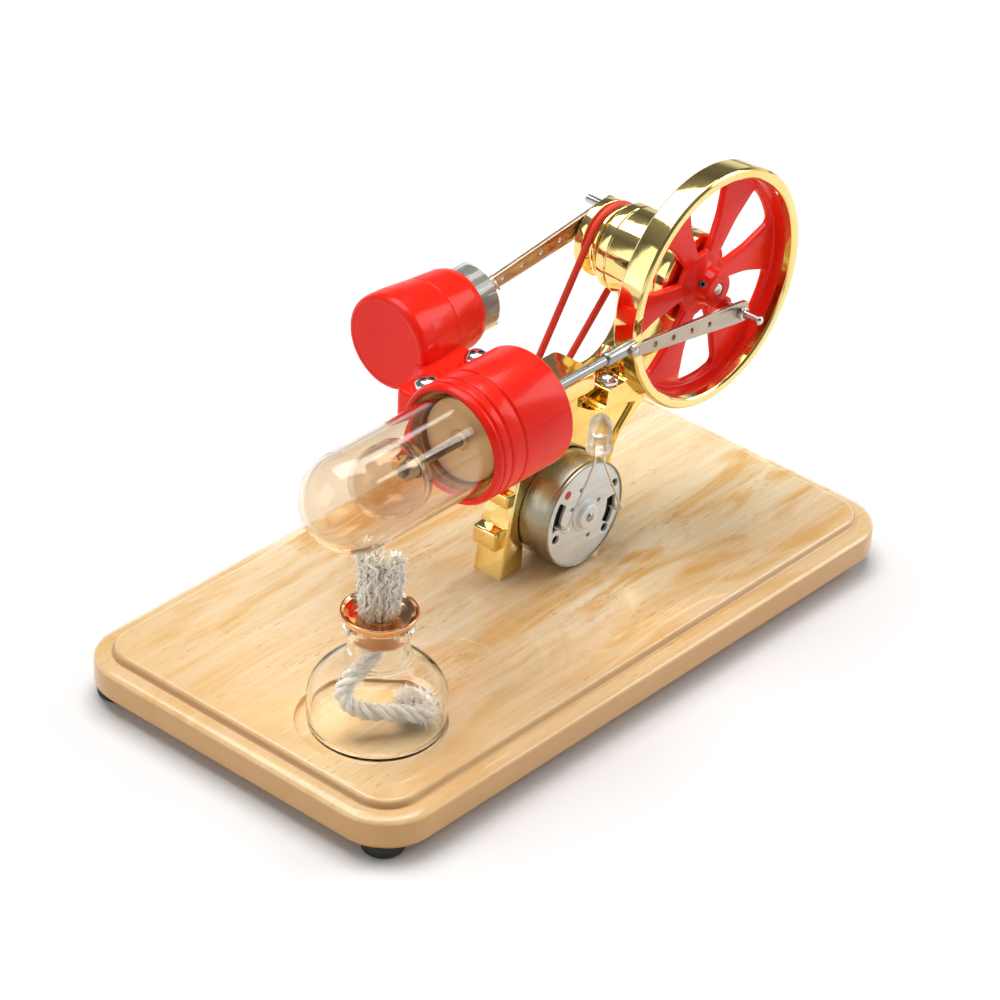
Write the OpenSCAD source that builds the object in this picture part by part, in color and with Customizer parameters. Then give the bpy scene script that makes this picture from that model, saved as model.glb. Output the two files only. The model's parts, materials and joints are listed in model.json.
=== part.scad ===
// Table-top hot-air (Stirling) engine with a spirit burner, a flywheel,
// a belt-driven generator motor and an indicator lamp on a wooden board.
// Millimetres. +Z is up, +X runs along the board from burner to flywheel,
// the origin is the board's centre on the surface its feet stand on.

/* [Board] */
// Length of the board
board_l = 162; // [158:1:200]
// Width of the board
board_w = 90; // [84:1:130]
// Full thickness of the board
board_t = 8.8; // [8:0.2:12]
// Corner radius of the board
board_r = 12; // [10:0.5:16]
// Height of a rubber foot
foot_h = 3; // [2:0.5:6]
// Diameter of a rubber foot
foot_d = 9.3; // [7:0.1:10]

/* [Engine layout] */
// Height of both cylinder axes and of the crankshaft
axis_z = 67.2; // [66:0.1:70]
// Crankshaft position along the board
crank_x = 50.6; // [50:0.1:52]
// Displacer side, across the board
disp_y = -17; // [-18:0.1:-17]
// Power piston side, across the board
power_y = 19; // [18.8:0.1:19.2]
// Throw of both cranks
crank_r = 6; // [5.5:0.1:6.5]
// Displacer crank angle at rest
disp_phase = -58; // [-70:1:-50]
// Power crank angle at rest
power_phase = 55; // [45:1:70]

/* [Cylinders] */
// Outer radius of the red displacer cylinder
disp_cyl_r = 13; // [12.8:0.1:13.2]
// Outer radius of the glass hot tube
tube_r = 10.5; // [10.3:0.05:10.9]
// Front face of the displacer cylinder
disp_front = -35.4; // [-36:0.1:-35]
// Rear face of the displacer cylinder
disp_rear = -12.2; // [-12.6:0.1:-12]
// Tip of the glass hot tube
tube_tip = -74.1; // [-76:0.1:-73.9]
// Front face of the power cylinder
power_front = -15.5; // [-16:0.1:-15]
// Rear face of the power cylinder
power_rear = 6.2; // [6:0.1:7]

/* [Flywheel] */
// Outer radius of the flywheel
wheel_r = 27.2; // [26.5:0.1:28]
// Width of the flywheel rim
wheel_w = 6.2; // [6:0.1:6.4]
// Near face of the rim and hub
wheel_face = -15.2; // [-15.3:0.1:-15.1]
// Number of spokes
spokes = 6; // [4:1:6]

/* [Motor] */
// Motor position along the board
motor_x = 16.3; // [16:0.1:17]
// Radius of the motor can
motor_r = 12.2; // [12:0.1:12.2]
// Length of the motor can
motor_l = 12.4; // [12:0.1:12.6]

/* [Burner] */
// Burner position along the board
burner_x = -55.8; // [-56:0.1:-55.2]
// Burner position across the board
burner_y = -18; // [-18.2:0.1:-17]
// Largest radius of the bottle
bottle_r = 14.3; // [13.8:0.1:14.3]
// Depth of the recess it stands in
recess_d = 1.5; // [1.2:0.1:1.8]

/* [Hidden] */
$fn = 96;
e = 0.01;

// board levels
top_z = foot_h + board_t;
side_z = foot_h + 5.6;
band_in = 3.5;
band_h = 1.5;
cove_in = 1;
recess_x = -56.35;
recess_r = 15.6;
foot_x = board_l/2 - 6.7;
foot_y = board_w/2 - 7.6;

// stand, seen from the near side
stand_y0 = -2.6;
stand_y1 = 5.4;
deck_z = 53.4;
deck_t = 4.4;
deck_y0 = -4.3;
deck_y1 = 7.6;
deck_x0 = -26.5;
deck_x1 = 25.4;
base_screws = [[1.9, 1.4], [31.2, 1.4]];
block_screws = [[-21.9, 1.4], [-7.1, 1.4]];
block_top = 67.2;
ledge_z = 45.1;
stand_screw = [34, 0];

// bearing housing on the crankshaft
house_r = 10;
house_y0 = -8.4;
house_y1 = 11;
bearing_r = 4;
bearing_w = 4;
shaft_r = 1.5;

// crank pins and conrods
pin_r = 1;
disp_l = 35;
power_l = 46;
bar_t = 1;
disp_bar_y = disp_y - 1.8;
disp_pin = [crank_x + crank_r*cos(disp_phase), axis_z + crank_r*sin(disp_phase)];
power_pin = [crank_x + crank_r*cos(power_phase), axis_z + crank_r*sin(power_phase)];
disp_drop = disp_pin[1] - axis_z;
power_rise = power_pin[1] - axis_z;
clevis_x = disp_pin[0] - sqrt(disp_l*disp_l - disp_drop*disp_drop);
wrist_x = power_pin[0] - sqrt(power_l*power_l - power_rise*power_rise);
disp_tilt = asin(disp_drop/disp_l);
power_tilt = asin(power_rise/power_l);

// pulleys and belt
pulley_face = 18.2;
pulley_r = 8.7;
belt_y = 14.4;
belt_r = 0.8;
belt_big = 8.2;
belt_small = 2.6;
belt_gap = 0.25;

// motor
motor_z = top_z + motor_r + 0.3;
motor_y0 = -11;
motor_y1 = motor_y0 + motor_l;
motor_shaft_r = 1;

// glass and displacer
tube_wall = 1.1;
tube_rear = -19;
bulb_r = 7.6;
bulb_tip = -61.4;
bulb_rear = -46;
bulb_round = 5;
bulb_wall = 0.8;
cap_r = 2.6;
disc_x = -33;
disc_r = 9.2;
rod_r = 1;
bore_r = 11.4;
glass_r = 7.6;
glass_in = 6.55;
glass_x0 = -10.4;
glass_x1 = 12.8;
piston_r = 6.48;

// lamp
led_x = 17.3;
led_y = -12.4;
led_z = 40.9;

// burner levels above the recess floor
burner_z = top_z - recess_d;

// ---------- helpers ----------

// a point at radius r and angle a
function polar(r, a) = [r*cos(a), r*sin(a)];

// arc points about c from angle a to b
function arc(c, r, a, b, n = 10) = [for (i = [0:n]) c + polar(r, a + (b - a)*i/n)];

// round every corner of a closed outline
function corner(p, q, s, r, n) =
    let (u = (p - q)/norm(p - q), v = (s - q)/norm(s - q), half = acos(u*v)/2,
         c = q + (u + v)/norm(u + v)*r/sin(half), f = c - (u + v)/norm(u + v)*r,
         t0 = q + u*r/tan(half), t1 = q + v*r/tan(half),
         a0 = atan2(t0[1] - c[1], t0[0] - c[0]), a1 = atan2(t1[1] - c[1], t1[0] - c[0]),
         d = a1 - a0, w = d > 180 ? d - 360 : d < -180 ? d + 360 : d)
    [for (i = [0:n]) c + polar(r, a0 + w*i/n)];
function rounded(pts, r, n = 6) = let (m = len(pts))
    [for (i = [0:m - 1]) each corner(pts[(i + m - 1)%m], pts[i], pts[(i + 1)%m], r, n)];

// a cylinder lying along X or Y
module xcyl(x0, x1, r, y = 0, z = 0) translate([x0, y, z]) rotate([0, 90, 0]) cylinder(h = x1 - x0, r = r);
module ycyl(y0, y1, r, x = 0, z = 0) translate([x, y0, z]) rotate([-90, 0, 0]) cylinder(h = y1 - y0, r = r);

// a profile of [x, radius] turned about an axis along X
module xturn(y, z, pts) translate([0, y, z]) rotate([0, 90, 0])
    rotate_extrude() polygon([for (p = pts) [p[1], p[0]]]);

// a profile of [y, radius] turned about an axis along Y
module yturn(x, z, pts) translate([x, 0, z]) rotate([-90, 0, 0])
    rotate_extrude() polygon([for (p = pts) [p[1], p[0]]]);

// a flat outline in X and Z, given thickness along Y
module xz(y0, y1) translate([0, y1, 0]) rotate([90, 0, 0]) linear_extrude(y1 - y0) children();

// ---------- board ----------

// half of the moulded edge: [inset from the side, height]
function edge_profile() = concat(
    [[0.5, foot_h], [0, foot_h + 0.5], [0, side_z]],
    [for (i = [1:6]) let (a = 90*i/6) [band_in*(1 - cos(a)), side_z + band_h*sin(a)]],
    [for (i = [1:5]) let (a = 90*i/5) [band_in + cove_in*sin(a), side_z + band_h + (top_z - side_z - band_h)*(1 - cos(a))]]);

module board_slab(half, length) let (p = edge_profile(), m = len(p))
    translate([0, length/2, 0]) rotate([90, 0, 0]) linear_extrude(length)
        polygon(concat([for (i = [0:m - 1]) [half - p[i][0], p[i][1]]],
            [for (i = [m - 1:-1:0]) [p[i][0] - half, p[i][1]]]));

module board_corner(x, y) let (p = edge_profile()) translate([x, y, 0]) rotate_extrude()
    polygon(concat([[0, foot_h]], [for (q = p) [board_r - q[0], q[1]]], [[0, top_z]]));

module base_board() color("burlywood") difference() {
    union() {
        board_slab(board_l/2, board_w - 2*board_r);
        rotate([0, 0, 90]) board_slab(board_w/2, board_l - 2*board_r);
        for (x = [-1, 1], y = [-1, 1]) board_corner(x*(board_l/2 - board_r), y*(board_w/2 - board_r));
    }
    translate([recess_x, disp_y, top_z - recess_d]) cylinder(h = 5, r = recess_r);
    for (p = base_screws) translate([p[0], p[1], 0]) {
        cylinder(h = 20, r = 1.5);
        translate([0, 0, foot_h - 1]) cylinder(h = 4.5, r = 3.2);
    }
}

module rubber_feet() color("dimgray") for (x = [-1, 1], y = [-1, 1])
    translate([x*foot_x, y*foot_y, 0]) rotate_extrude()
        polygon([[0, 0], [foot_d/2 - 0.8, 0], [foot_d/2 - 0.3, 0.3], [foot_d/2, foot_h], [0, foot_h]]);

module base_screws() color("silver") for (p = base_screws) translate([p[0], p[1], 0]) difference() {
    union() {
        translate([0, 0, foot_h + 1.3]) cylinder(h = 2.2, r = 2.9);
        translate([0, 0, foot_h + 3]) cylinder(h = 11, r = 1.5);
    }
    cross_recess(foot_h + 1.3, 2.4, 1.1);
}

// a cross recess centred on z, cut both ways by its depth
module cross_recess(z, span, depth) for (a = [45, 135]) rotate([0, 0, a])
    translate([-span/2, -0.35, z - depth]) cube([span, 0.7, 2*depth]);

// ---------- stand ----------

// outer outline of the cast stand, from the front foot round to the back
function stand_outline() = concat(
    [[-0.9, top_z], [-0.3, 16.9], [0.4, 21.7], [1.4, 26.2], [2.4, 30.8], [3.4, 34.8]],
    arc([-3.2, 38.8], 8, -8, 62, 10),
    [[0, deck_z - deck_t], [31, deck_z - deck_t]],
    arc([32, 59], 10, -84, -8, 10),
    [[62.4, 62.5], [60.2, 56.5], [57, 50.5], [53.6, 45.6], [50, 41.6], [46.3, 38.9],
     [43.3, 37.2], [39.7, 35], [36.3, 32.4], [34.2, 28.6], [33.5, 24], [33.4, 18], [34.6, top_z]]);

// open pocket past the deck's end, with a ledge for the stand's screw
function stand_cavity() = rounded([[21.2, 45.6], [25.4, 42.9], [29.5, 41.2], [30.9, 41.4], [31.4, ledge_z],
    [37.4, ledge_z], [38, 52], [21.2, 52]], 0.7);

// shallow panel between the motor seat and the rear leg's outer rib
function leg_panel() = rounded([[32.9, 38.2], [34.9, 39.2], [38.2, 39.3], [40.9, 38.6], [38.5, 36.1], [36, 33.6],
    [34.4, 31], [33.4, 28.4], [32.6, 24.6], [31.6, 24.8], [31.9, 28.5], [32.3, 32.2], [32.7, 35.8]], 0.4);

module stand_frame() color("gold") difference() {
    union() {
        xz(stand_y0, stand_y1) difference() {
            polygon(stand_outline());
            translate([motor_x, motor_z]) circle(r = motor_r + 0.15);
            translate([motor_x - 10.4, top_z - 1]) square([20.8, motor_z - top_z - 5.5]);
            translate([crank_x, axis_z]) circle(r = house_r);
        }
        // two stepped lugs on the front leg
        xz(stand_y0 + 1.4, stand_y1 - 0.3) polygon(rounded([[-2.1, 18.6], [1.5, 18.6], [1.5, 23.4], [-2.1, 23.4]], 0.5));
        xz(stand_y0 + 0.2, stand_y1 - 1.2) polygon(rounded([[0.2, 29], [4, 29], [4, 32.2], [0.2, 32.2]], 0.5));
    }
    for (p = base_screws) translate([p[0], p[1], top_z - 1]) cylinder(h = foot_h + 14 - top_z + 1, r = 1.5);
    translate([-3, 0.4, 22.4]) cube([1.8, 0.7, 1.6]);
    translate([-0.7, 0.2, 31.3]) cube([1.8, 0.7, 1.6]);
    xz(stand_y0 - 1, stand_y0 + 6) polygon(stand_cavity());
    xz(stand_y0 - 1, stand_y0 + 0.8) polygon(leg_panel());
    translate([stand_screw[0], stand_screw[1], ledge_z - 4]) cylinder(h = 5, r = 1.2);
}

module stand_deck() color("gold") difference() {
    translate([0, 0, deck_z - deck_t]) linear_extrude(deck_t)
        polygon(rounded([[deck_x0, deck_y0], [deck_x1, deck_y0], [deck_x1, deck_y1], [deck_x0, deck_y1]], 1.5));
    for (p = block_screws) translate([p[0], p[1], deck_z - deck_t - 1]) cylinder(h = deck_t + 2, r = 1.5);
}

module bearing_housing() color("gold") difference() {
    yturn(crank_x, axis_z, [[house_y0, 0], [house_y0, house_r - 0.6], [house_y0 + 0.6, house_r],
        [house_y1 - 0.6, house_r], [house_y1, house_r - 0.6], [house_y1, 0]]);
    ycyl(house_y0 - 1, house_y1 + 1, 3, crank_x, axis_z);
    ycyl(house_y0 - 1, house_y0 + bearing_w + 0.4, bearing_r, crank_x, axis_z);
    ycyl(house_y1 - bearing_w - 0.4, house_y1 + 1, bearing_r, crank_x, axis_z);
    yturn(crank_x, axis_z, [[house_y1 - 0.6, 5.2], [house_y1 + 1, 5.2], [house_y1 + 1, 8.6], [house_y1 - 0.6, 8.6]]);
}

module ball_bearings() color("lightgray") for (y = [house_y0 + 0.4, house_y1 - bearing_w - 0.4])
    difference() {
        ycyl(y, y + bearing_w, bearing_r, crank_x, axis_z);
        ycyl(y - 1, y + bearing_w + 1, shaft_r + 0.05, crank_x, axis_z);
        for (s = [y - 1, y + bearing_w - 0.3]) yturn(crank_x, axis_z,
            [[s, 2.3], [s + 1.3, 2.3], [s + 1.3, 3.3], [s, 3.3]]);
    }

// ---------- cylinders ----------

disp_body = [[disp_front, 0], [disp_front, disp_cyl_r - 0.5], [disp_front + 0.5, disp_cyl_r],
    [disp_front + 1.5, disp_cyl_r], [disp_front + 1.8, disp_cyl_r - 0.35], [disp_front + 2.1, disp_cyl_r],
    [disp_front + 3.9, disp_cyl_r], [disp_front + 4.2, disp_cyl_r - 0.35], [disp_front + 4.5, disp_cyl_r],
    [disp_front + 8, disp_cyl_r], [disp_front + 8.3, disp_cyl_r - 0.35], [disp_front + 8.6, disp_cyl_r],
    [disp_rear - 1.2, disp_cyl_r], [disp_rear - 0.35, disp_cyl_r - 0.35], [disp_rear, disp_cyl_r - 1.2], [disp_rear, 0]];

power_body = [[power_front, 0], [power_front, 9.4], [power_front + 0.35, 10.25], [power_front + 1.2, 10.6],
    [power_front + 5, 10.5], [power_front + 12, 9.7], [power_front + 12.2, 9.55], [power_front + 12.4, 9.65],
    [power_rear - 1.4, 8.9], [power_rear - 0.4, 8.5], [power_rear, 7.9], [power_rear, 0]];

// drilled path that joins the two cylinders
module gas_passage() {
    ycyl(disp_y + 8, 4.5, 1.1, -17, 63);
    xcyl(-18.1, -10.7, 1.1, 4.5, 63);
    ycyl(4.5, power_y - 6, 1.1, -11.8, 63);
}

module cylinder_block() color("red") difference() {
    union() {
        translate([0, 0, deck_z]) linear_extrude(block_top - 1 - deck_z)
            polygon(rounded([[-25.6, -9], [-12.5, -9], [-10, -2.6], [-3.3, -2.6], [-3.3, 14], [-15, 14], [-16.4, 7.2], [-25.6, 7.2]], 1.2));
        for (p = block_screws) translate([p[0], p[1], deck_z]) cylinder(h = block_top - deck_z, r = 3.6);
    }
    xturn(disp_y, axis_z, disp_body);
    xturn(power_y, axis_z, power_body);
    for (p = block_screws) translate([p[0], p[1], deck_z - 1]) cylinder(h = block_top - deck_z + 3, r = 1.5);
    gas_passage();
}

module displacer_cylinder() color("red") difference() {
    xturn(disp_y, axis_z, disp_body);
    xcyl(disp_front - 1, disp_rear - 3.2, bore_r, disp_y, axis_z);
    xcyl(disp_rear - 4, disp_rear + 1, 2.2, disp_y, axis_z);
    gas_passage();
}

module power_cylinder() color("red") difference() {
    xturn(power_y, axis_z, power_body);
    xcyl(power_front + 2.3, power_rear + 1, glass_r, power_y, axis_z);
    gas_passage();
}

module block_screws() color("silver") for (p = block_screws) translate([p[0], p[1], 0]) difference() {
    union() {
        translate([0, 0, 50]) cylinder(h = block_top - 50 + 1, r = 1.5);
        translate([0, 0, block_top]) rotate_extrude()
            polygon(concat([[0, 0], [2.7, 0], [2.7, 0.9]], arc([1.5, 0.9], 1.2, 15, 75, 4), [[1.2, 2.15], [0, 2.25]]));
    }
    translate([0, 0, block_top + 2.3]) cross_recess(0, 3.2, 1);
}

module stand_screw() color("silver") translate([stand_screw[0], stand_screw[1], ledge_z]) difference() {
    union() {
        translate([0, 0, -4]) cylinder(h = 5, r = 1.2);
        rotate_extrude() polygon(concat([[0, 0], [2.4, 0], [2.4, 0.8]], arc([1.3, 0.8], 1.1, 15, 75, 4), [[1, 1.95], [0, 2.05]]));
    }
    translate([0, 0, 2.1]) cross_recess(0, 2.8, 0.9);
}

module hot_tube() color("lightcyan") xturn(disp_y, axis_z, concat(
    [for (p = arc([tube_tip + tube_r, 0], tube_r, 180, 90, 16)) p], [[tube_rear, tube_r], [tube_rear, tube_r - tube_wall]],
    [for (p = arc([tube_tip + tube_r, 0], tube_r - tube_wall, 90, 180, 16)) p]));

module tube_seals() color("darkorange") for (x = [disp_front + 2, tube_rear - 3.4])
    xturn(disp_y, axis_z, [[x, tube_r], [x + 2, tube_r], [x + 2, bore_r], [x, bore_r]]);

// bush in the cylinder's rear wall, with a sleeve that carries a disc in the tube's mouth
module rod_bush() color("tan") xturn(disp_y, axis_z, [[disc_x, rod_r + 0.05], [disp_rear + 1.6, rod_r + 0.05],
    [disp_rear + 1.6, 2.9], [disp_rear, 3.3], [disp_rear, 2.2], [disp_rear - 3.2, 2.2], [disp_rear - 3.2, 3],
    [disc_x + 2, 3], [disc_x + 1.5, disc_r - 0.3], [disc_x + 1.2, disc_r], [disc_x + 0.3, disc_r], [disc_x, disc_r - 0.3]]);

module glass_cylinder() color("lightcyan") xturn(power_y, axis_z, [[glass_x0, glass_in], [glass_x1 - 0.3, glass_in],
    [glass_x1, glass_in + 0.3], [glass_x1, glass_r - 0.3], [glass_x1 - 0.3, glass_r], [glass_x0, glass_r]]);

// ---------- displacer ----------

// thin glass capsule, open only where its cap holds the rod
module displacer_bulb() color("azure") xturn(disp_y, axis_z, concat(
    arc([bulb_tip + bulb_r, 0], bulb_r, 180, 90, 14), arc([bulb_rear - bulb_round, bulb_r - bulb_round], bulb_round, 90, 0, 10),
    [[bulb_rear, cap_r - 0.6], [bulb_rear - bulb_wall, cap_r - 0.6]],
    arc([bulb_rear - bulb_round, bulb_r - bulb_round], bulb_round - bulb_wall, 0, 90, 10),
    arc([bulb_tip + bulb_r, 0], bulb_r - bulb_wall, 90, 180, 14)));

// cap in the capsule's neck, gripping the rod
module displacer_plug() color("silver") xturn(disp_y, axis_z, [[bulb_rear - 3, rod_r], [bulb_rear + 1.8, rod_r],
    [bulb_rear + 1.8, cap_r - 0.5], [bulb_rear + 1.4, cap_r], [bulb_rear, cap_r], [bulb_rear, cap_r - 0.6], [bulb_rear - 3, cap_r - 0.6]]);

module displacer_rod() color("silver") xcyl(-50, 13.5, rod_r, disp_y, axis_z);

module rod_end() color("silver") difference() {
    union() {
        difference() {
            xturn(disp_y, axis_z, [[11.6, 0], [11.6, 1.2], [12, 1.5], [clevis_x + 1.2, 1.5], [clevis_x + 1.6, 1.1], [clevis_x + 1.6, 0]]);
            translate([16.4, disp_y - 3, axis_z - 3]) cube([9, 2, 6]);
        }
        ycyl(disp_bar_y - bar_t/2 - 0.1, disp_y, 0.75, clevis_x, axis_z);
    }
    xcyl(10, 13.5, rod_r, disp_y, axis_z);
}

// flat tapered bar with a row of lightening holes, drawn from its small end
module conrod_bar(l, holes, y) xz(y - bar_t/2, y + bar_t/2) difference() {
    polygon(concat(arc([0, 0], 1.45, 95, 265, 12), arc([l, 0], 2.4, -80, 80, 12)));
    circle(r = 0.8);
    for (i = holes) translate([6*i, 0]) circle(r = 0.65);
    translate([l, 0]) circle(r = pin_r);
}

module displacer_conrod() color("silver") translate([clevis_x, 0, axis_z]) rotate([0, -disp_tilt, 0])
    conrod_bar(disp_l, [1, 2, 3, 4], disp_bar_y);

module displacer_crank_pin() color("silver") yturn(disp_pin[0], disp_pin[1], [[wheel_face - 0.3, 0], [wheel_face - 0.3, pin_r],
    [disp_bar_y - 5.6, pin_r], [disp_bar_y - 5.9, pin_r - 0.3], [disp_bar_y - 5.9, 0]]);

// ---------- power piston ----------

module power_piston() color("dimgray") difference() {
    xcyl(wrist_x - 7.5, wrist_x + 3.8, piston_r, power_y, axis_z);
    xcyl(wrist_x - 3, wrist_x + 5, 4.6, power_y, axis_z);
    ycyl(power_y - 8, power_y + 8, 0.75, wrist_x, axis_z);
}

module wrist_pin() color("silver") ycyl(power_y - 5.9, power_y + 5.9, 0.75, wrist_x, axis_z);

module power_conrod() color("silver") translate([wrist_x, 0, axis_z]) rotate([0, -power_tilt, 0])
    conrod_bar(power_l, [1, 2, 3, 4, 5], power_y);

module power_crank_pin() color("silver") yturn(power_pin[0], power_pin[1], [[pulley_face + 0.25, 0], [pulley_face + 0.25, pin_r],
    [power_y + 5.6, pin_r], [power_y + 5.9, pin_r - 0.3], [power_y + 5.9, 0]]);

// ---------- crankshaft, flywheel and pulley ----------

module crankshaft() color("silver") ycyl(wheel_face + 0.1, pulley_face - 0.1, shaft_r, crank_x, axis_z);

module flywheel_rim() color("gold") yturn(crank_x, axis_z, [[wheel_face, wheel_r - 2.2], [wheel_face, wheel_r - 0.5],
    [wheel_face + 0.15, wheel_r - 0.15], [wheel_face + 0.5, wheel_r], [wheel_face + wheel_w - 0.5, wheel_r],
    [wheel_face + wheel_w - 0.15, wheel_r - 0.15], [wheel_face + wheel_w, wheel_r - 0.5],
    [wheel_face + wheel_w, wheel_r - 2.6], [wheel_face + 0.4, wheel_r - 2.6]]);

// near side of the spokes
spoke_face = wheel_face + 4.4;

// one petal-shaped window between two spokes
function window_outline() = rounded([polar(7.2, -14), polar(15, -18), polar(22.8, -15.5), polar(23.4, 0),
    polar(22.8, 15.5), polar(15, 18), polar(7.2, 14)], 0.8, 5);

module flywheel_web() color("red") difference() {
    union() {
        yturn(crank_x, axis_z, [[spoke_face, 0], [spoke_face, wheel_r - 4.2], [spoke_face - 0.6, wheel_r - 3.6],
            [wheel_face + 0.6, wheel_r - 3.3], [wheel_face + 0.6, wheel_r - 2.6], [wheel_face + wheel_w, wheel_r - 2.6],
            [wheel_face + wheel_w, 0]]);
        yturn(crank_x, axis_z, [[wheel_face, 0], [wheel_face, 3.7], [wheel_face + 0.3, 4], [spoke_face - 1.6, 4.1],
            [spoke_face - 0.9, 5], [spoke_face - 0.5, 6.2], [spoke_face + 0.5, 6.2], [spoke_face + 0.5, 0]]);
        ycyl(wheel_face, wheel_face + 5, 1.8, disp_pin[0], disp_pin[1]);
    }
    for (i = [0:spokes - 1]) translate([crank_x, 0, axis_z]) rotate([0, -360/spokes*(i + 0.5), 0])
        xz(wheel_face + 2, wheel_face + wheel_w + 1) polygon(window_outline());
    ycyl(wheel_face - 1, wheel_face + wheel_w + 1, shaft_r, crank_x, axis_z);
    translate([crank_x, wheel_face + 1.9, axis_z]) rotate([0, -150, 0]) rotate([0, 90, 0]) cylinder(h = 6, r = 0.9);
}

module flywheel_grub_screw() color("dimgray") translate([crank_x, wheel_face + 1.9, axis_z]) rotate([0, -150, 0])
    rotate([0, 90, 0]) translate([0, 0, shaft_r]) difference() {
        cylinder(h = 2.3, r = 0.9);
        translate([0, 0, 1.4]) cylinder(h = 2, r = 0.45, $fn = 6);
    }

groove = belt_big - belt_r - belt_gap;
module drive_pulley() color("gold") difference() {
    yturn(crank_x, axis_z, [[house_y1 + 0.4, 0], [house_y1 + 0.4, 5], [12, 5], [12, pulley_r - 0.2], [12.2, pulley_r],
        [belt_y - 1.45, pulley_r], [belt_y - 1.05, groove], [belt_y + 1.05, groove], [belt_y + 1.45, pulley_r],
        [pulley_face - 0.3, pulley_r], [pulley_face, pulley_r - 0.3], [pulley_face, 0]]);
    ycyl(house_y1 - 1, pulley_face + 1, shaft_r, crank_x, axis_z);
}

// ---------- belt ----------

belt_dx = crank_x - motor_x;
belt_dz = axis_z - motor_z;
belt_c = norm([belt_dx, belt_dz]);
belt_dir = atan2(belt_dz, belt_dx);
belt_lean = asin((belt_big - belt_small)/belt_c);

// belt centre line: [point, outward direction], round both pulleys in turn
function belt_stop(x, z, r, a) = [[x, belt_y, z] + r*[cos(a), 0, sin(a)], [cos(a), 0, sin(a)]];
belt_path = concat(
    [for (i = [0:24]) belt_stop(crank_x, axis_z, belt_big, belt_dir - 90 - belt_lean + (180 + 2*belt_lean)*i/24)],
    [for (i = [0:12]) belt_stop(motor_x, motor_z, belt_small, belt_dir + 90 + belt_lean + (180 - 2*belt_lean)*i/12)]);
belt_sides = 16;

module drive_belt() color("crimson") let (n = len(belt_path), m = belt_sides) polyhedron(
    points = [for (s = belt_path, j = [0:m - 1]) s[0] + belt_r*(cos(360*j/m)*s[1] + sin(360*j/m)*[0, 1, 0])],
    faces = [for (i = [0:n - 1], j = [0:m - 1]) let (k = (i + 1)%n, l = (j + 1)%m) each
        [[i*m + j, k*m + j, k*m + l], [i*m + j, k*m + l, i*m + l]]]);

// ---------- motor ----------

module motor_can() color("silver") difference() {
    yturn(motor_x, motor_z, [[motor_y0 + 0.9, 0], [motor_y0 + 0.9, motor_r], [motor_y1 - 0.9, motor_r],
        [motor_y1 - 0.3, motor_r - 0.3], [motor_y1, motor_r - 0.9], [motor_y1, 3], [motor_y1 + 1.2, 3], [motor_y1 + 1.2, 0]]);
    ycyl(motor_y0 - 1, motor_y1 - 0.8, motor_r - 0.7, motor_x, motor_z);
    ycyl(motor_y1 - 2, motor_y1 + 2, motor_shaft_r + 0.05, motor_x, motor_z);
}

module motor_magnets() color("dimgray") difference() {
    ycyl(motor_y0 + 2.2, motor_y1 - 1, motor_r - 0.75, motor_x, motor_z);
    ycyl(motor_y0 + 1, motor_y1, motor_r - 2.6, motor_x, motor_z);
    translate([motor_x - 1, motor_y0, motor_z - 15]) cube([2, 20, 30]);
}

// a slot that follows a circle round the motor's face
module face_slot(r, a, half, w) xz(motor_y0 - 1, motor_y0 + 2) translate([motor_x, motor_z])
    polygon(concat(arc([0, 0], r + w/2, a - half, a + half, 8), arc([0, 0], r - w/2, a + half, a - half, 8)));

module motor_end_plate() color("lightgray") difference() {
    yturn(motor_x, motor_z, [[motor_y0 - 1.7, 0], [motor_y0 - 1.7, 2.3], [motor_y0 - 1.4, 2.6], [motor_y0 - 0.2, 2.8], [motor_y0, 3.6],
        [motor_y0, motor_r - 0.3], [motor_y0 + 0.3, motor_r], [motor_y0 + 0.9, motor_r], [motor_y0 + 0.9, 0]]);
    ycyl(motor_y0 - 1.2, motor_y0 + 2, motor_shaft_r + 0.05, motor_x, motor_z);
    face_slot(8.9, 162, 19, 2.1);
    face_slot(8.9, -16, 19, 2.1);
    for (p = [[9.3, 195], [9.6, -43], [10.2, 20]]) let (q = polar(p[0], p[1]))
        ycyl(motor_y0 - 1, motor_y0 + 2, 0.95, motor_x + q[0], motor_z + q[1]);
    for (p = [[6.6, 101], [4.6, 18], [4.2, 144], [6, -74]]) let (q = polar(p[0], p[1]))
        ycyl(motor_y0 - 1, motor_y0 + 0.5, 0.5, motor_x + q[0], motor_z + q[1]);
}

module motor_terminals() color("silver") for (s = [-1, 1])
    translate([motor_x + s*8.9 - 0.8, motor_y0 - 2.1, motor_z - 1.9 - (s < 0 ? -2.7 : 0)]) cube([1.6, 3, 0.5]);

module motor_rotor() color("peru") difference() {
    ycyl(motor_y0 + 2.6, motor_y1 - 2, motor_r - 3, motor_x, motor_z);
    ycyl(motor_y0, motor_y1, motor_shaft_r, motor_x, motor_z);
    for (i = [0:2]) translate([motor_x, 0, motor_z]) rotate([0, 120*i + 20, 0])
        translate([motor_r - 5.5, motor_y0, -0.8]) cube([4, 20, 1.6]);
}

module motor_shaft() color("silver") ycyl(motor_y0 - 1.1, belt_y + 1.8, motor_shaft_r, motor_x, motor_z);

small_groove = belt_small - belt_r - belt_gap;
module motor_pulley() color("gold") difference() {
    yturn(motor_x, motor_z, [[belt_y - 2.2, 0], [belt_y - 2.2, 3.4], [belt_y - 1.45, 3.6], [belt_y - 1.05, small_groove + 0.05],
        [belt_y + 1.05, small_groove + 0.05], [belt_y + 1.45, 3.6], [belt_y + 2, 3.4], [belt_y + 2, 0]]);
    ycyl(belt_y - 3, belt_y + 3, motor_shaft_r, motor_x, motor_z);
}

// ---------- lamp ----------

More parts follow.
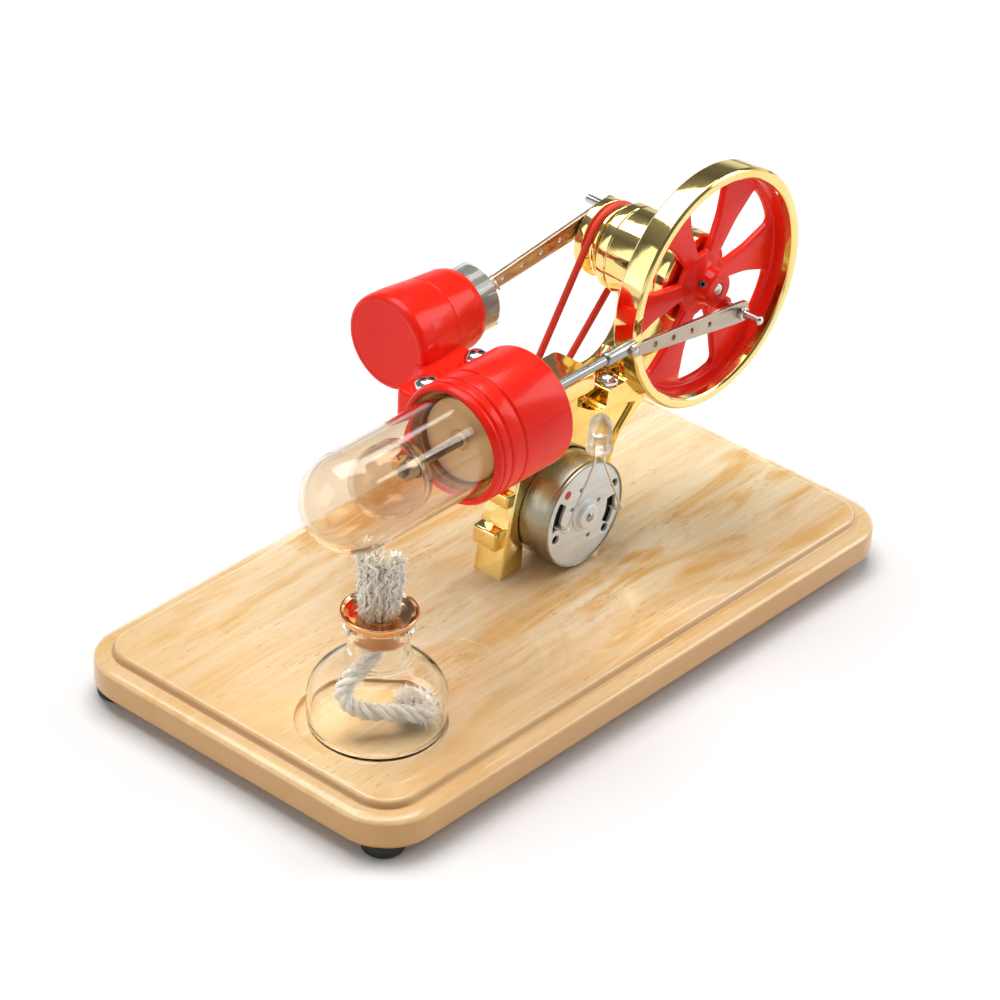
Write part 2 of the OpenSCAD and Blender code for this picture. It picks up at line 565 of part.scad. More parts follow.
module led_lens() color("white") translate([led_x, led_y, led_z]) rotate_extrude()
    polygon(concat([[0, 0], [2.9, 0], [2.9, 1], [2.5, 1], [2.5, 6.1]], arc([0, 6.1], 2.5, 0, 90, 10)));

// a straight wire between two points
module wire(a, b, r = 0.25) let (d = b - a, l = norm(d))
    translate(a) rotate([0, acos(d[2]/l), atan2(d[1], d[0])]) cylinder(h = l, r = r, $fn = 24);

module led_legs() color("silver") for (s = [-1, 1]) {
    wire([led_x + s*1.27, led_y, led_z], [led_x + s*1.27, led_y, led_z - 2.2]);
    translate([led_x + s*1.27, led_y, led_z - 2.2]) sphere(r = 0.3, $fn = 24);
    wire([led_x + s*1.27, led_y, led_z - 2.2], [motor_x + s*8.9, motor_y0 - 1.8, motor_z + (s < 0 ? 1.65 : -1.05)]);
}

// ---------- burner ----------

bottle_out = concat([[0, 0], [bottle_r - 2, 0], [bottle_r - 0.7, 0.5], [bottle_r - 0.1, 1.8]],
    [[bottle_r, 4], [bottle_r - 0.1, 8.2]], arc([6.6, 8.4], 7.5, 0, 68, 9),
    [[7.1, 16.6], [6.5, 17.6], [6.2, 19], [6.2, 22.6], [6.9, 23.4], [7.2, 24.3], [6.9, 25.3], [6, 25.6]]);
bottle_in = concat([[4.8, 25.6], [4.8, 18], [5.6, 16.4]], arc([5.8, 8.3], 7.1, 70, 0, 9),
    [[bottle_r - 1.3, 4], [bottle_r - 1.6, 2.2], [bottle_r - 3, 1.3], [0, 1.3]]);

module burner_bottle() color("lightcyan") translate([burner_x, burner_y, burner_z]) rotate_extrude()
    polygon(concat(bottle_out, bottle_in));

module burner_collar() color("chocolate") translate([burner_x, burner_y, burner_z]) rotate_extrude()
    polygon([[2.4, 26.2], [2.4, 25.6], [6.2, 25.6], [7.2, 26], [7.8, 27], [8, 28.2], [7.7, 28.4], [7.2, 27.8], [6.2, 27.1], [4.4, 26.6]]);

module burner_stopper() color("peru") translate([burner_x, burner_y, burner_z + 21.4]) difference() {
    cylinder(h = 4.2, r1 = 4.5, r2 = 4.8);
    translate([0, 0, -1]) cylinder(h = 6, r = 2.4);
}

// frayed top of the wick, from inside the stopper up to just below the tube
module burner_wick() color("ivory") translate([burner_x, burner_y, burner_z]) rotate_extrude()
    polygon([[0, 21], [2.35, 21], [2.35, 26.4], [3.1, 29], [4.2, 35], [4.7, 41], [4.4, 43], [3.4, 43.7], [0, 43.7]]);

// the rest of the wick, coiled in the bottle
module wick_coil() color("ivory") translate([burner_x, burner_y, burner_z]) {
    translate([0, 0, 5]) cylinder(h = 16, r = 1.9);
    translate([0, 0, 3.9]) rotate_extrude() translate([6.4, 0]) circle(r = 2.3, $fn = 32);
    translate([0, 0, 3.9]) cylinder(h = 2, r = 5);
}

base_board();
rubber_feet();
base_screws();
stand_frame();
stand_deck();
bearing_housing();
ball_bearings();
cylinder_block();
displacer_cylinder();
power_cylinder();
block_screws();
stand_screw();
hot_tube();
tube_seals();
rod_bush();
glass_cylinder();
displacer_bulb();
displacer_plug();
displacer_rod();
rod_end();
displacer_conrod();
displacer_crank_pin();
power_piston();
wrist_pin();
power_conrod();
power_crank_pin();
crankshaft();
flywheel_rim();
flywheel_web();
flywheel_grub_screw();
drive_pulley();
drive_belt();
motor_can();
motor_magnets();
motor_end_plate();
motor_terminals();
motor_rotor();
motor_shaft();
motor_pulley();
led_lens();
led_legs();
burner_bottle();
burner_collar();
burner_stopper();
burner_wick();
wick_coil();
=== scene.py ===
"""Looks for the tabletop hot-air engine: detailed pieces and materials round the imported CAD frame.

Metres, in the CAD's own frame: +Z up, +X from the burner to the flywheel, -Y the displacer side.
"""
import json
import math
import random

import bpy
import bmesh
from mathutils import Matrix, Vector, noise


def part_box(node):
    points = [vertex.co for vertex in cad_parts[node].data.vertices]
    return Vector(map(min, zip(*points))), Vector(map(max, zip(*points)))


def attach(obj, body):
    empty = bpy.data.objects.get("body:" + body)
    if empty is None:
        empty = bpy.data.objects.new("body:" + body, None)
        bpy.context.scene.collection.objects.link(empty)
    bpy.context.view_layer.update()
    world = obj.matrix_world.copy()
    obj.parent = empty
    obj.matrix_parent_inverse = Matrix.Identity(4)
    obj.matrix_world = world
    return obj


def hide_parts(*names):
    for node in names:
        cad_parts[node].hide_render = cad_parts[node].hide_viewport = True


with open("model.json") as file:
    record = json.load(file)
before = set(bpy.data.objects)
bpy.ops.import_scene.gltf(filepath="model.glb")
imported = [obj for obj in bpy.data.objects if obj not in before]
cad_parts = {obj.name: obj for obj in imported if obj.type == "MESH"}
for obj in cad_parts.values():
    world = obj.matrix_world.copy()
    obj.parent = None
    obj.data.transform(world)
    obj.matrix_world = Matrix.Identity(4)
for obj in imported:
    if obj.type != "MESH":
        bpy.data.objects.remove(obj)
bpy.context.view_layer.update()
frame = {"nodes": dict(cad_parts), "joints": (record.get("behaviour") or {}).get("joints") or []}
MM = 0.001
TAU = 2 * math.pi
rng = random.Random(7)


# ---------- places, read from the frame ----------

def middle(node):
    """Centre of a CAD node's box, in mm."""
    low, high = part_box(node)
    return (low + high) / 2 / MM


def span(node, axis):
    """Lowest and highest value of a CAD node along one axis, in mm."""
    low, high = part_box(node)
    i = "xyz".index(axis)
    return low[i] / MM, high[i] / MM


joint_at = {j["name"]: Vector(j["pos_m"]) / MM for j in frame["joints"] if "pos_m" in j}

board_x = span("base_board", "x")
board_y = span("base_board", "y")
board_z = span("base_board", "z")
top_z = board_z[1]

disp_y = middle("hot_tube").y
power_y = middle("power_cylinder").y
axis_z = middle("hot_tube").z
crank = joint_at["crank_spin"]
motor = joint_at["motor_spin"]
clevis = joint_at["displacer_link_swing"]
wrist = joint_at["power_link_swing"]
burner = middle("burner_bottle")
burner_z = span("burner_bottle", "z")[0]
recess_x, recess_r, recess_depth = -56.35, 15.6, 1.5
rim_r = (span("flywheel_rim", "x")[1] - span("flywheel_rim", "x")[0]) / 2
base_screws_x, block_screws_x, screws_y = (1.9, 31.2), (-21.9, -7.1), 1.4

# the lines that turned pieces stand on: a point in mm and an axis
HOT_LINE = (0, disp_y, axis_z), "x"
COLD_LINE = (0, power_y, axis_z), "x"
CRANK_LINE = (crank.x, 0, crank.z), "y"
MOTOR_LINE = (motor.x, 0, motor.z), "y"
BURNER_LINE = (burner.x, burner.y, burner_z), "z"


# ---------- mesh helpers ----------

def rounded(points, closed=False, steps=5):
    """Outline points (a, b) or (a, b, radius), with an arc at each corner that has a radius."""
    out = []
    count = len(points)
    for i, p in enumerate(points):
        q = Vector(p[:2])
        radius = p[2] if len(p) > 2 else 0
        if not radius or (not closed and i in (0, count - 1)):
            out.append(q)
            continue
        u = Vector(points[i - 1][:2]) - q
        v = Vector(points[(i + 1) % count][:2]) - q
        room = 0.49 * min(u.length, v.length)
        u.normalize()
        v.normalize()
        half = u.angle(v) / 2
        reach = min(radius / math.tan(half), room)
        radius = reach * math.tan(half)
        centre = q + (u + v).normalized() * radius / math.sin(half)
        a, b = q + u * reach - centre, q + v * reach - centre
        start = math.atan2(a.y, a.x)
        turn = (math.atan2(b.y, b.x) - start + math.pi) % TAU - math.pi
        out += [centre + radius * Vector((math.cos(start + turn * k / steps),
                                          math.sin(start + turn * k / steps))) for k in range(steps + 1)]
    return [(q.x, q.y) for q in out]


def arc(centre, radius, start, end, steps=12):
    """Points of an arc, in degrees."""
    angles = [math.radians(start + (end - start) * k / steps) for k in range(steps + 1)]
    return [(centre[0] + radius * math.cos(a), centre[1] + radius * math.sin(a)) for a in angles]


def circle(centre, radius, count=24):
    """Closed outline of a round hole or disc."""
    return arc(centre, radius, 0, 360 - 360 / count, count - 1)


def bridge(bm, rings):
    """Quads between neighbouring rings of vertices."""
    for a, b in zip(rings, rings[1:]):
        for k in range(len(a)):
            n = (k + 1) % len(a)
            bm.faces.new((a[k], a[n], b[n], b[k]))


def finish_mesh(name, mesh, materials, sharp=40):
    """Wraps mesh data made in mm into an object in metres, smooth except at edges sharper than given."""
    mesh.transform(Matrix.Scale(MM, 4))
    for m in materials if isinstance(materials, (list, tuple)) else [materials]:
        mesh.materials.append(m)
    mesh.shade_smooth()
    mesh.set_sharp_from_angle(angle=math.radians(sharp))
    obj = bpy.data.objects.new(name, mesh)
    bpy.context.scene.collection.objects.link(obj)
    return obj


def from_bmesh(name, bm, materials, sharp=40):
    """Cleans a bmesh made in mm and turns it into an object."""
    bmesh.ops.remove_doubles(bm, verts=bm.verts, dist=1e-5)
    bmesh.ops.recalc_face_normals(bm, faces=bm.faces)
    mesh = bpy.data.meshes.new(name)
    bm.to_mesh(mesh)
    bm.free()
    return finish_mesh(name, mesh, materials, sharp)


def add_lathe(bm, profile, centre, axis, segments=128, closed=True, paint=None):
    """Turns a profile of (along, radius) in mm about an axis; closed joins its ends.

    paint(along, radius) picks a material slot.
    """
    along = {"x": Vector((1, 0, 0)), "y": Vector((0, 1, 0)), "z": Vector((0, 0, 1))}[axis]
    out = along.orthogonal().normalized()
    side = along.cross(out)
    rings = []
    for t, r in profile:
        if abs(r) < 1e-6:
            rings.append([bm.verts.new(Vector(centre) + along * t)])
        else:
            turns = [TAU * k / segments for k in range(segments)]
            spokes = [out * math.cos(a) + side * math.sin(a) for a in turns]
            rings.append([bm.verts.new(Vector(centre) + along * t + r * spoke) for spoke in spokes])
    for i, a in enumerate(rings if closed else rings[:-1]):
        j = (i + 1) % len(rings)
        b = rings[j]
        if len(a) == 1 and len(b) == 1:
            continue
        slot = 0
        if paint:
            slot = paint((profile[i][0] + profile[j][0]) / 2, (profile[i][1] + profile[j][1]) / 2)
        for k in range(segments):
            n = (k + 1) % segments
            if len(a) == 1:
                face = bm.faces.new((a[0], b[k], b[n]))
            elif len(b) == 1:
                face = bm.faces.new((a[k], b[0], a[n]))
            else:
                face = bm.faces.new((a[k], b[k], b[n], a[n]))
            face.material_index = slot


def lathe(name, profile, centre, axis, materials, segments=128, closed=True, paint=None):
    """A turned piece. The profile's points may carry a corner radius."""
    bm = bmesh.new()
    add_lathe(bm, rounded(profile, closed), centre, axis, segments, closed, paint)
    return from_bmesh(name, bm, materials)


def plate(name, loops, low, high, materials, edge=0.25, axis="y", turn=None, steps=2):
    """A flat plate with rounded edges, from outlines in mm across an axis; turn is a matrix."""
    curve = bpy.data.curves.new("plate", "CURVE")
    curve.dimensions = "2D"
    curve.fill_mode = "BOTH"
    curve.extrude = max((high - low) / 2 - edge, 0)
    curve.bevel_depth = edge
    curve.bevel_resolution = steps
    curve.offset = -edge
    for loop in loops:
        spline = curve.splines.new("POLY")
        spline.points.add(len(loop) - 1)
        for point, p in zip(spline.points, loop):
            point.co = (*p, 0, 1)
        spline.use_cyclic_u = True
    obj = bpy.data.objects.new("plate", curve)
    bpy.context.scene.collection.objects.link(obj)
    bpy.context.view_layer.update()
    mesh = bpy.data.meshes.new_from_object(obj.evaluated_get(bpy.context.evaluated_depsgraph_get()))
    bpy.data.objects.remove(obj)
    bpy.data.curves.remove(curve)
    mid = (low + high) / 2
    stand_up = Matrix(((1, 0, 0, 0), (0, 0, -1, mid), (0, 1, 0, 0), (0, 0, 0, 1)))
    mesh.transform(stand_up if axis == "y" else Matrix.Translation((0, 0, mid)))
    bm = bmesh.new()
    bm.from_mesh(mesh)
    bmesh.ops.remove_doubles(bm, verts=bm.verts, dist=1e-4)
    bmesh.ops.recalc_face_normals(bm, faces=bm.faces)
    bm.to_mesh(mesh)
    bm.free()
    mesh.materials.clear()
    if turn:
        mesh.transform(turn)
    return finish_mesh(name, mesh, materials)


def add_tube(bm, path, radius, sides=12, cyclic=False, taper=None, bump=None):
    """A tube along a path in mm. taper(i, n) scales the radius along it, bump(point) adds to it."""
    n = len(path)
    path = [Vector(p) for p in path]
    up = None
    rings = []
    for i, p in enumerate(path):
        a = path[i - 1] if (i or cyclic) else p
        b = path[(i + 1) % n] if (i < n - 1 or cyclic) else p
        d = (b - a).normalized()
        up = d.orthogonal().normalized() if up is None else (up - d * up.dot(d)).normalized()
        side = d.cross(up)
        r = radius * (taper(i, n) if taper else 1)
        ring = []
        for k in range(sides):
            w = up * math.cos(TAU * k / sides) + side * math.sin(TAU * k / sides)
            q = p + w * r
            if bump:
                q += w * bump(q)
            ring.append(bm.verts.new(q))
        rings.append(ring)
    bridge(bm, rings + rings[:1] if cyclic else rings)
    if not cyclic:
        bm.faces.new(rings[0][::-1])
        bm.faces.new(rings[-1])


def smooth_path(points, per=10):
    """Catmull-Rom curve through points, in mm."""
    pts = [Vector(p) for p in points]
    pts = [2 * pts[0] - pts[1]] + pts + [2 * pts[-1] - pts[-2]]
    out = []
    for i in range(1, len(pts) - 2):
        p0, p1, p2, p3 = pts[i - 1:i + 3]
        for k in range(per):
            t = k / per
            out.append(0.5 * (2 * p1 + (p2 - p0) * t + (2 * p0 - 5 * p1 + 4 * p2 - p3) * t * t
                              + (3 * p1 - p0 - 3 * p2 + p3) * t ** 3))
    return out + [pts[-2]]


def join(name, parts):
    """Joins objects into one, keeping every material."""
    bpy.ops.object.select_all(action="DESELECT")
    for o in parts:
        o.select_set(True)
    bpy.context.view_layer.objects.active = parts[0]
    bpy.ops.object.join()
    parts[0].name = name
    parts[0].data.name = name
    return parts[0]


def carve(obj, cutter):
    """Cuts one object out of another and removes the cutter."""
    mod = obj.modifiers.new("cut", "BOOLEAN")
    mod.operation = "DIFFERENCE"
    mod.solver = "EXACT"
    mod.use_self = True
    mod.object = cutter
    bpy.context.view_layer.update()
    mesh = bpy.data.meshes.new_from_object(obj.evaluated_get(bpy.context.evaluated_depsgraph_get()))
    obj.modifiers.clear()
    obj.data = mesh
    mesh.name = obj.name
    mesh.set_sharp_from_angle(angle=math.radians(40))
    bpy.data.objects.remove(cutter)
    return obj


def fit(obj, body, slot, *nodes):
    """obj rides on a CAD body and stands for the CAD nodes named; slot is not used."""
    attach(obj, body)
    if nodes:
        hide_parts(*nodes)


# ---------- materials ----------

class Shader:
    """A node material: Principled BSDF with constants on its own sockets and patterns linked in."""

    def __init__(self, name, color, rough, metal=0.0, **values):
        self.material = bpy.data.materials.new(name)
        self.material.use_nodes = True
        self.tree = self.material.node_tree
        self.bsdf = self.tree.nodes["Principled BSDF"]
        self.bsdf.inputs["Base Color"].default_value = (*color, 1)
        self.bsdf.inputs["Roughness"].default_value = rough
        self.bsdf.inputs["Metallic"].default_value = metal
        for key, value in values.items():
            self.bsdf.inputs[key.replace("_", " ")].default_value = value
        self.coords = self.tree.nodes.new("ShaderNodeTexCoord").outputs["Object"]

    def add(self, kind, links=None, **settings):
        """Adds a node; a link's value is a socket or a constant."""
        node = self.tree.nodes.new("ShaderNode" + kind)
        for key, value in settings.items():
            setattr(node, key, value)
        for key, value in (links or {}).items():
            if isinstance(value, bpy.types.NodeSocket):
                self.tree.links.new(value, node.inputs[key])
            else:
                node.inputs[key].default_value = value
        return node

    def noise(self, scale, detail=3.0, rough=0.55, distortion=0.0):
        """Noise in the object's own coordinates; scale is one number or one for each axis."""
        size = scale if isinstance(scale, tuple) else (scale,) * 3
        vector = self.add("Mapping", {"Vector": self.coords, "Scale": size}).outputs[0]
        return self.add("TexNoise", {"Vector": vector, "Scale": 1.0, "Detail": detail, "Roughness": rough,
                                     "Distortion": distortion}).outputs["Fac"]

    def ramp(self, value, low, high, out_low=0.0, out_high=1.0):
        """Maps low..high to another range, clamped."""
        return self.add("MapRange", {"Value": value, "From Min": low, "From Max": high,
                                     "To Min": out_low, "To Max": out_high}).outputs["Result"]

    def mix(self, factor, a, b):
        """Blends two colours or sockets."""
        node = self.add("Mix", {"Factor": factor}, data_type="RGBA")
        for socket, value in ((node.inputs[6], a), (node.inputs[7], b)):
            if isinstance(value, bpy.types.NodeSocket):
                self.tree.links.new(value, socket)
            else:
                socket.default_value = (*value, 1)
        return node.outputs[2]

    def combine(self, operation, a, b):
        """Arithmetic on two values or sockets."""
        return self.add("Math", {0: a, 1: b}, operation=operation).outputs[0]

    def stain(self, body, mask, amount, color):
        """Lays a colour over body where the mask is high."""
        return self.mix(self.combine("MULTIPLY", mask, amount), body, color)

    def color(self, value):
        """Links a base colour."""
        self.tree.links.new(value, self.bsdf.inputs["Base Color"])

    def tones(self, a, b, scale, low, high, detail=3.0):
        """Base colour that drifts from a to b."""
        self.color(self.mix(self.ramp(self.noise(scale, detail), low, high), a, b))

    def rough(self, value):
        """Links a roughness."""
        self.tree.links.new(value, self.bsdf.inputs["Roughness"])

    def bump(self, *layers):
        """Each layer is (height, distance in mm)."""
        normal = None
        for height, distance in layers:
            node = self.add("Bump", {"Height": height, "Distance": distance * MM, "Strength": 1.0})
            if normal:
                self.tree.links.new(normal, node.inputs["Normal"])
            normal = node.outputs[0]
        self.tree.links.new(normal, self.bsdf.inputs["Normal"])


def wood():
    """Pale varnished board with brown streaks and pores, and painted shade on its upright faces, in its cove
    and round its recess.
    """
    s = Shader("varnished_wood", (0.8, 0.6, 0.36), 0.36, Coat_Weight=0.8, Coat_Roughness=0.06,
               Specular_IOR_Level=0.35)
    cream, honey, brown = (0.98, 0.82, 0.53), (0.80, 0.44, 0.10), (0.42, 0.17, 0.03)
    cloud = s.ramp(s.noise((26, 120, 120), 4, 0.6, 0.9), 0.44, 0.62)
    broad = s.ramp(s.noise((9, 24, 24), 2), 0.38, 0.62, 0.35, 1.0)
    body = s.stain(cream, cloud, broad, honey)
    pale = s.ramp(s.noise((18, 170, 170), distortion=0.8), 0.52, 0.70)
    body = s.stain(body, pale, 0.75, (1.0, 0.93, 0.74))
    streak = s.ramp(s.noise((40, 900, 900), 5, 0.62), 0.34, 0.66)
    body = s.stain(body, streak, 0.36, (0.74, 0.44, 0.15))
    pores = s.ramp(s.noise((300, 2300, 2300), 1), 0.62, 0.71)
    patches = s.ramp(s.noise((40, 110, 110), 2), 0.44, 0.60)
    body = s.stain(body, s.combine("MULTIPLY", pores, patches), 0.6, brown)
    # darker towards the burner's end and the near side; painted shade on upright faces, partly end grain at
    # the board's ends, and in the moulding's cove and round the recess
    normal = s.add("SeparateXYZ", {"Vector": s.add("NewGeometry").outputs["Normal"]}).outputs
    place = s.add("SeparateXYZ", {"Vector": s.coords}).outputs
    edge = s.combine("MAXIMUM", s.ramp(place["X"], -0.02, -0.078), s.ramp(place["Y"], -0.018, -0.044))
    body = s.stain(body, edge, 0.62, (0.78, 0.46, 0.16))
    # painted shade: upright faces darker than the top, with end grain at the board's ends
    body = s.stain(body, s.ramp(normal["Z"], 0.75, 0.15), 0.82, (0.56, 0.27, 0.06))
    # painted shade in the moulding's cove and round the recess's floor, from the board's vertex layer,
    # stronger on faces turned to the burner's end
    painted_shade = s.add("Attribute", attribute_name="painted_shade").outputs["Fac"]
    s.color(s.stain(body, painted_shade, s.ramp(normal["X"], -0.05, -0.35, 0.3, 0.8), (0.46, 0.20, 0.05)))
    s.rough(s.ramp(streak, 0, 1, 0.30, 0.42))
    s.bump((streak, 0.02), (pores, -0.02))
    return s.material


def gold(name="polished_gold", cast=0.0, rough=0.07):
    """Plated brass; cast adds waves in the surface."""
    s = Shader(name, (0.93, 0.66, 0.22), rough, 1.0)
    s.tones((0.95, 0.76, 0.33), (0.89, 0.67, 0.22), 60, 0.3, 0.7)
    haze = s.noise(420, 4)
    s.rough(s.ramp(haze, 0.3, 0.75, rough * 0.7, rough * 1.7))
    s.bump((s.noise(150, 2), 0.03 + cast), (haze, 0.004))
    return s.material


def enamel():
    """Red paint with a faint orange peel."""
    s = Shader("red_enamel", (0.86, 0.010, 0.007), 0.5, Coat_Weight=0.28, Coat_Roughness=0.13,
               Specular_IOR_Level=0.1)
    s.tones((0.94, 0.020, 0.005), (0.84, 0.012, 0.003), 70, 0.3, 0.7)
    peel = s.noise(900, 2)
    s.rough(s.ramp(peel, 0.3, 0.7, 0.30, 0.40))
    s.bump((peel, 0.006), (s.noise(140, 1), 0.02))
    return s.material


def glass(name="clear_glass", tint=(0.985, 0.99, 0.985), ior=1.47, ripple=0.012, rough=0.0):
    """Clear glass with a slight ripple."""
    s = Shader(name, tint, rough, Transmission_Weight=1.0, IOR=ior)
    s.bump((s.noise(110, 1), ripple))
    s.tones(tint, tuple(c * 0.985 for c in tint), 50, 0.35, 0.65, 2)
    return s.material


def metal(name, color, rough, stretch=(1, 1, 1), brushed=0.006, vary=0.12, metallic=1.0):
    """Bare metal with fine lines drawn along the axis whose stretch is smallest."""
    s = Shader(name, color, rough, metallic)
    lines = s.noise(tuple(1500 * k for k in stretch))
    s.tones(color, tuple(c * (1 - vary) for c in color), 110, 0.35, 0.7, 4)
    s.rough(s.ramp(lines, 0.25, 0.75, rough * 0.75, rough * 1.3))
    s.bump((lines, brushed))
    return s.material


def plain(name, color, rough, grain=1200, depth=0.01, vary=0.15, **values):
    """Rubber, graphite and other matt surfaces with a fine grain."""
    s = Shader(name, color, rough, **values)
    grit = s.noise(grain, 4)
    s.tones(color, tuple(c * (1 - vary) for c in color), 180, 0.3, 0.7)
    s.rough(s.ramp(grit, 0.3, 0.7, rough * 0.9, min(1, rough * 1.12)))
    s.bump((grit, depth))
    return s.material


def cotton():
    """White fibres that let a little light through."""
    s = Shader("cotton_wick", (0.97, 0.93, 0.86), 0.9, Sheen_Weight=0.5, Sheen_Roughness=0.4,
               Subsurface_Weight=0.35, Subsurface_Scale=0.001, Subsurface_Radius=(1.0, 0.92, 0.8))
    s.tones((0.97, 0.90, 0.79), (0.90, 0.79, 0.63), (260, 260, 120), 0.35, 0.7)
    s.bump((s.noise((2600, 2600, 420), 4), 0.05))
    return s.material


WOOD = wood()
GOLD = gold()
CAST_GOLD = gold("cast_gold", cast=0.10, rough=0.09)
RED = enamel()
GLASS = glass()
TUBE_GLASS = glass("hot_tube_glass", (0.95, 0.85, 0.71), 1.45, 0.03)
BULB_GLASS = glass("displacer_glass", (0.88, 0.79, 0.70), 1.55, 0.04)
BOTTLE_GLASS = glass("bottle_glass", (0.99, 0.99, 0.98), 1.27, 0.02)
RESIN = glass("lamp_resin", (0.99, 0.97, 0.96), 1.36, 0.02, 0.30)
STEEL = metal("satin_steel", (0.50, 0.41, 0.32), 0.28, (0.05, 1, 1))
BAR_STEEL = metal("warm_steel", (0.62, 0.48, 0.33), 0.28, (0.05, 1, 1))
ROD_STEEL = metal("ground_steel", (0.40, 0.40, 0.38), 0.30, (1, 0.3, 0.3), 0.001)
PIN_STEEL = metal("turned_steel", (0.68, 0.67, 0.65), 0.2, (0.3, 1, 0.3))
CHROME = metal("bright_plate", (0.80, 0.80, 0.80), 0.09, brushed=0.002, vary=0.08)
TIN = metal("tinned_wire", (0.80, 0.74, 0.62), 0.38, (1, 1, 0.1))
# painted reflection and shade: the can's base colour is darkened and tinted greenish gold
ZINC = metal("zinc_can_painted_reflection", (0.38, 0.35, 0.27), 0.30, (0.15, 1, 0.15), 0.002, 0.1)
ZINC_FACE = metal("zinc_face", (0.80, 0.84, 0.83), 0.42, (0.6, 0.6, 0.6), 0.004, 0.08, 0.35)
ALUMINIUM = metal("turned_aluminium", (0.66, 0.62, 0.56), 0.32, (1, 0.2, 0.2), 0.006)
TAN_BRASS = metal("heat_tinted_brass", (0.70, 0.54, 0.36), 0.40, (1, 0.2, 0.2), 0.006)
COPPER = metal("collar_copper", (0.86, 0.50, 0.26), 0.11, brushed=0.003, vary=0.15)
BLACK_STEEL = metal("black_steel", (0.08, 0.08, 0.085), 0.35, metallic=0.8)
GRAPHITE = plain("graphite", (0.24, 0.225, 0.20), 0.36, 1400, 0.006, 0.2, metal=0.45)
MAGNET = plain("ferrite", (0.05, 0.05, 0.055), 0.6)
WINDING = plain("copper_winding", (0.45, 0.19, 0.07), 0.35, 2200, 0.03, 0.3, metal=0.6)
BLACK_RUBBER = plain("black_rubber", (0.018, 0.018, 0.018), 0.62, 900, 0.03)
ORANGE = plain("orange_silicone", (0.72, 0.26, 0.04), 0.42, 800, 0.02)
BELT_RED = plain("belt_rubber", (0.80, 0.05, 0.02), 0.45, 1200, 0.015)
DOT_RED = plain("red_mark", (0.6, 0.05, 0.03), 0.4, 900, 0.01)
COTTON = cotton()


# ---------- board ----------

def ring_points(inset, z, corner, steps=14):
    """A rounded rectangle round the board, inset from its sides."""
    r = corner - inset
    hx, hy = (board_x[1] - board_x[0]) / 2 - corner, (board_y[1] - board_y[0]) / 2 - corner
    out = []
    for sx, sy, start in ((1, 1, 0), (-1, 1, 90), (-1, -1, 180), (1, -1, 270)):
        out += [Vector((x, y, z)) for x, y in arc((sx * hx, sy * hy), r, start, start + 90, steps)]
    return out


def board():
    """Moulded board: round shoulder, cove and raised field, with the burner's recess cut in it."""
    corner = 12
    low = board_z[0]
    shoulder = low + 5.6
    # each ring's third value is the painted shade the wood gets there, highest in the cove
    profile = [(*p, 0) for p in rounded([(4, low), (0.7, low), (0, low + 0.9, 0.7), (0, shoulder - 0.3)])]
    profile += [(3.4 * (1 - math.cos(math.radians(a))), shoulder + 1.45 * math.sin(math.radians(a)), 0)
                for a in range(0, 91, 10)]
    profile += [(3.55, shoulder + 1.42, 0.4), (3.7, shoulder + 1.42, 0.9), (3.9, shoulder + 1.5, 1.0),
                (4.1, shoulder + 1.72, 1.0), (4.25, shoulder + 2.1, 0.75), (4.4, shoulder + 2.55, 0.4),
                (4.65, shoulder + 2.9, 0.1), (5.0, shoulder + 3.11, 0), (5.5, top_z, 0)]
    bm = bmesh.new()
    # vertex layer that carries the painted shade for the wood
    painted_shade = bm.verts.layers.float.new("painted_shade")
    rings = []
    for inset, z, mark in profile:
        ring = [bm.verts.new(p) for p in ring_points(inset, z, corner)]
        for v in ring:
            v[painted_shade] = mark
        rings.append(ring)
    bridge(bm, rings)
    floor_z = top_z - recess_depth
    # third values: painted shade on the recess's wall and round its floor
    recess = [(0.35, top_z, 0), (0.15, top_z - 0.06, 0), (0.02, top_z - 0.2, 0.2), (0, top_z - 0.45, 0.7),
              (0, floor_z + 0.3, 1.0), (-0.1, floor_z + 0.08, 1.0), (-0.4, floor_z, 0.8),
              (-1.2, floor_z, 0.2)]
    wall = []
    for wider, z, mark in recess:
        ring = [bm.verts.new((x, y, z)) for x, y in circle((recess_x, disp_y), recess_r + wider, 96)]
        for v in ring:
            v[painted_shade] = mark
        wall.append(ring)
    bridge(bm, wall)
    bm.faces.new(wall[-1])

    def loop_edges(ring):
        return [bm.edges.get((ring[k], ring[(k + 1) % len(ring)])) for k in range(len(ring))]
    bmesh.ops.triangle_fill(bm, edges=loop_edges(rings[-1]) + loop_edges(wall[0]), use_dissolve=False)
    holes = []
    for hole_x in base_screws_x:
        hole = circle((hole_x, screws_y), 3.2, 32)
        mouth, end = ([bm.verts.new((x, y, z)) for x, y in hole] for z in (low, low + 3.5))
        bridge(bm, [mouth, end])
        bm.faces.new(end)
        holes += loop_edges(mouth)
    bmesh.ops.triangle_fill(bm, edges=loop_edges(rings[0]) + holes, use_dissolve=False)
    fit(from_bmesh("board", bm, WOOD, 50), "frame", "board_wood", "base_board")


def feet():
    """Four rubber feet under the board."""
    low, high = span("rubber_feet", "z")
    r = 4.65
    bm = bmesh.new()
    profile = rounded([(low, 0), (low, r - 0.9, 0.3), (low + 0.5, r - 0.25, 0.4), (high - 0.3, r, 0.2),
                       (high, r), (high, 0)])
    fx, fy = span("rubber_feet", "x")[1] - r, span("rubber_feet", "y")[1] - r
    for sx in (-1, 1):
        for sy in (-1, 1):
            add_lathe(bm, profile, (sx * fx, sy * fy, 0), "z", 48)
    fit(from_bmesh("feet", bm, BLACK_RUBBER), "frame", "foot_rubber", "rubber_feet")


board()
feet()


# ---------- stand ----------

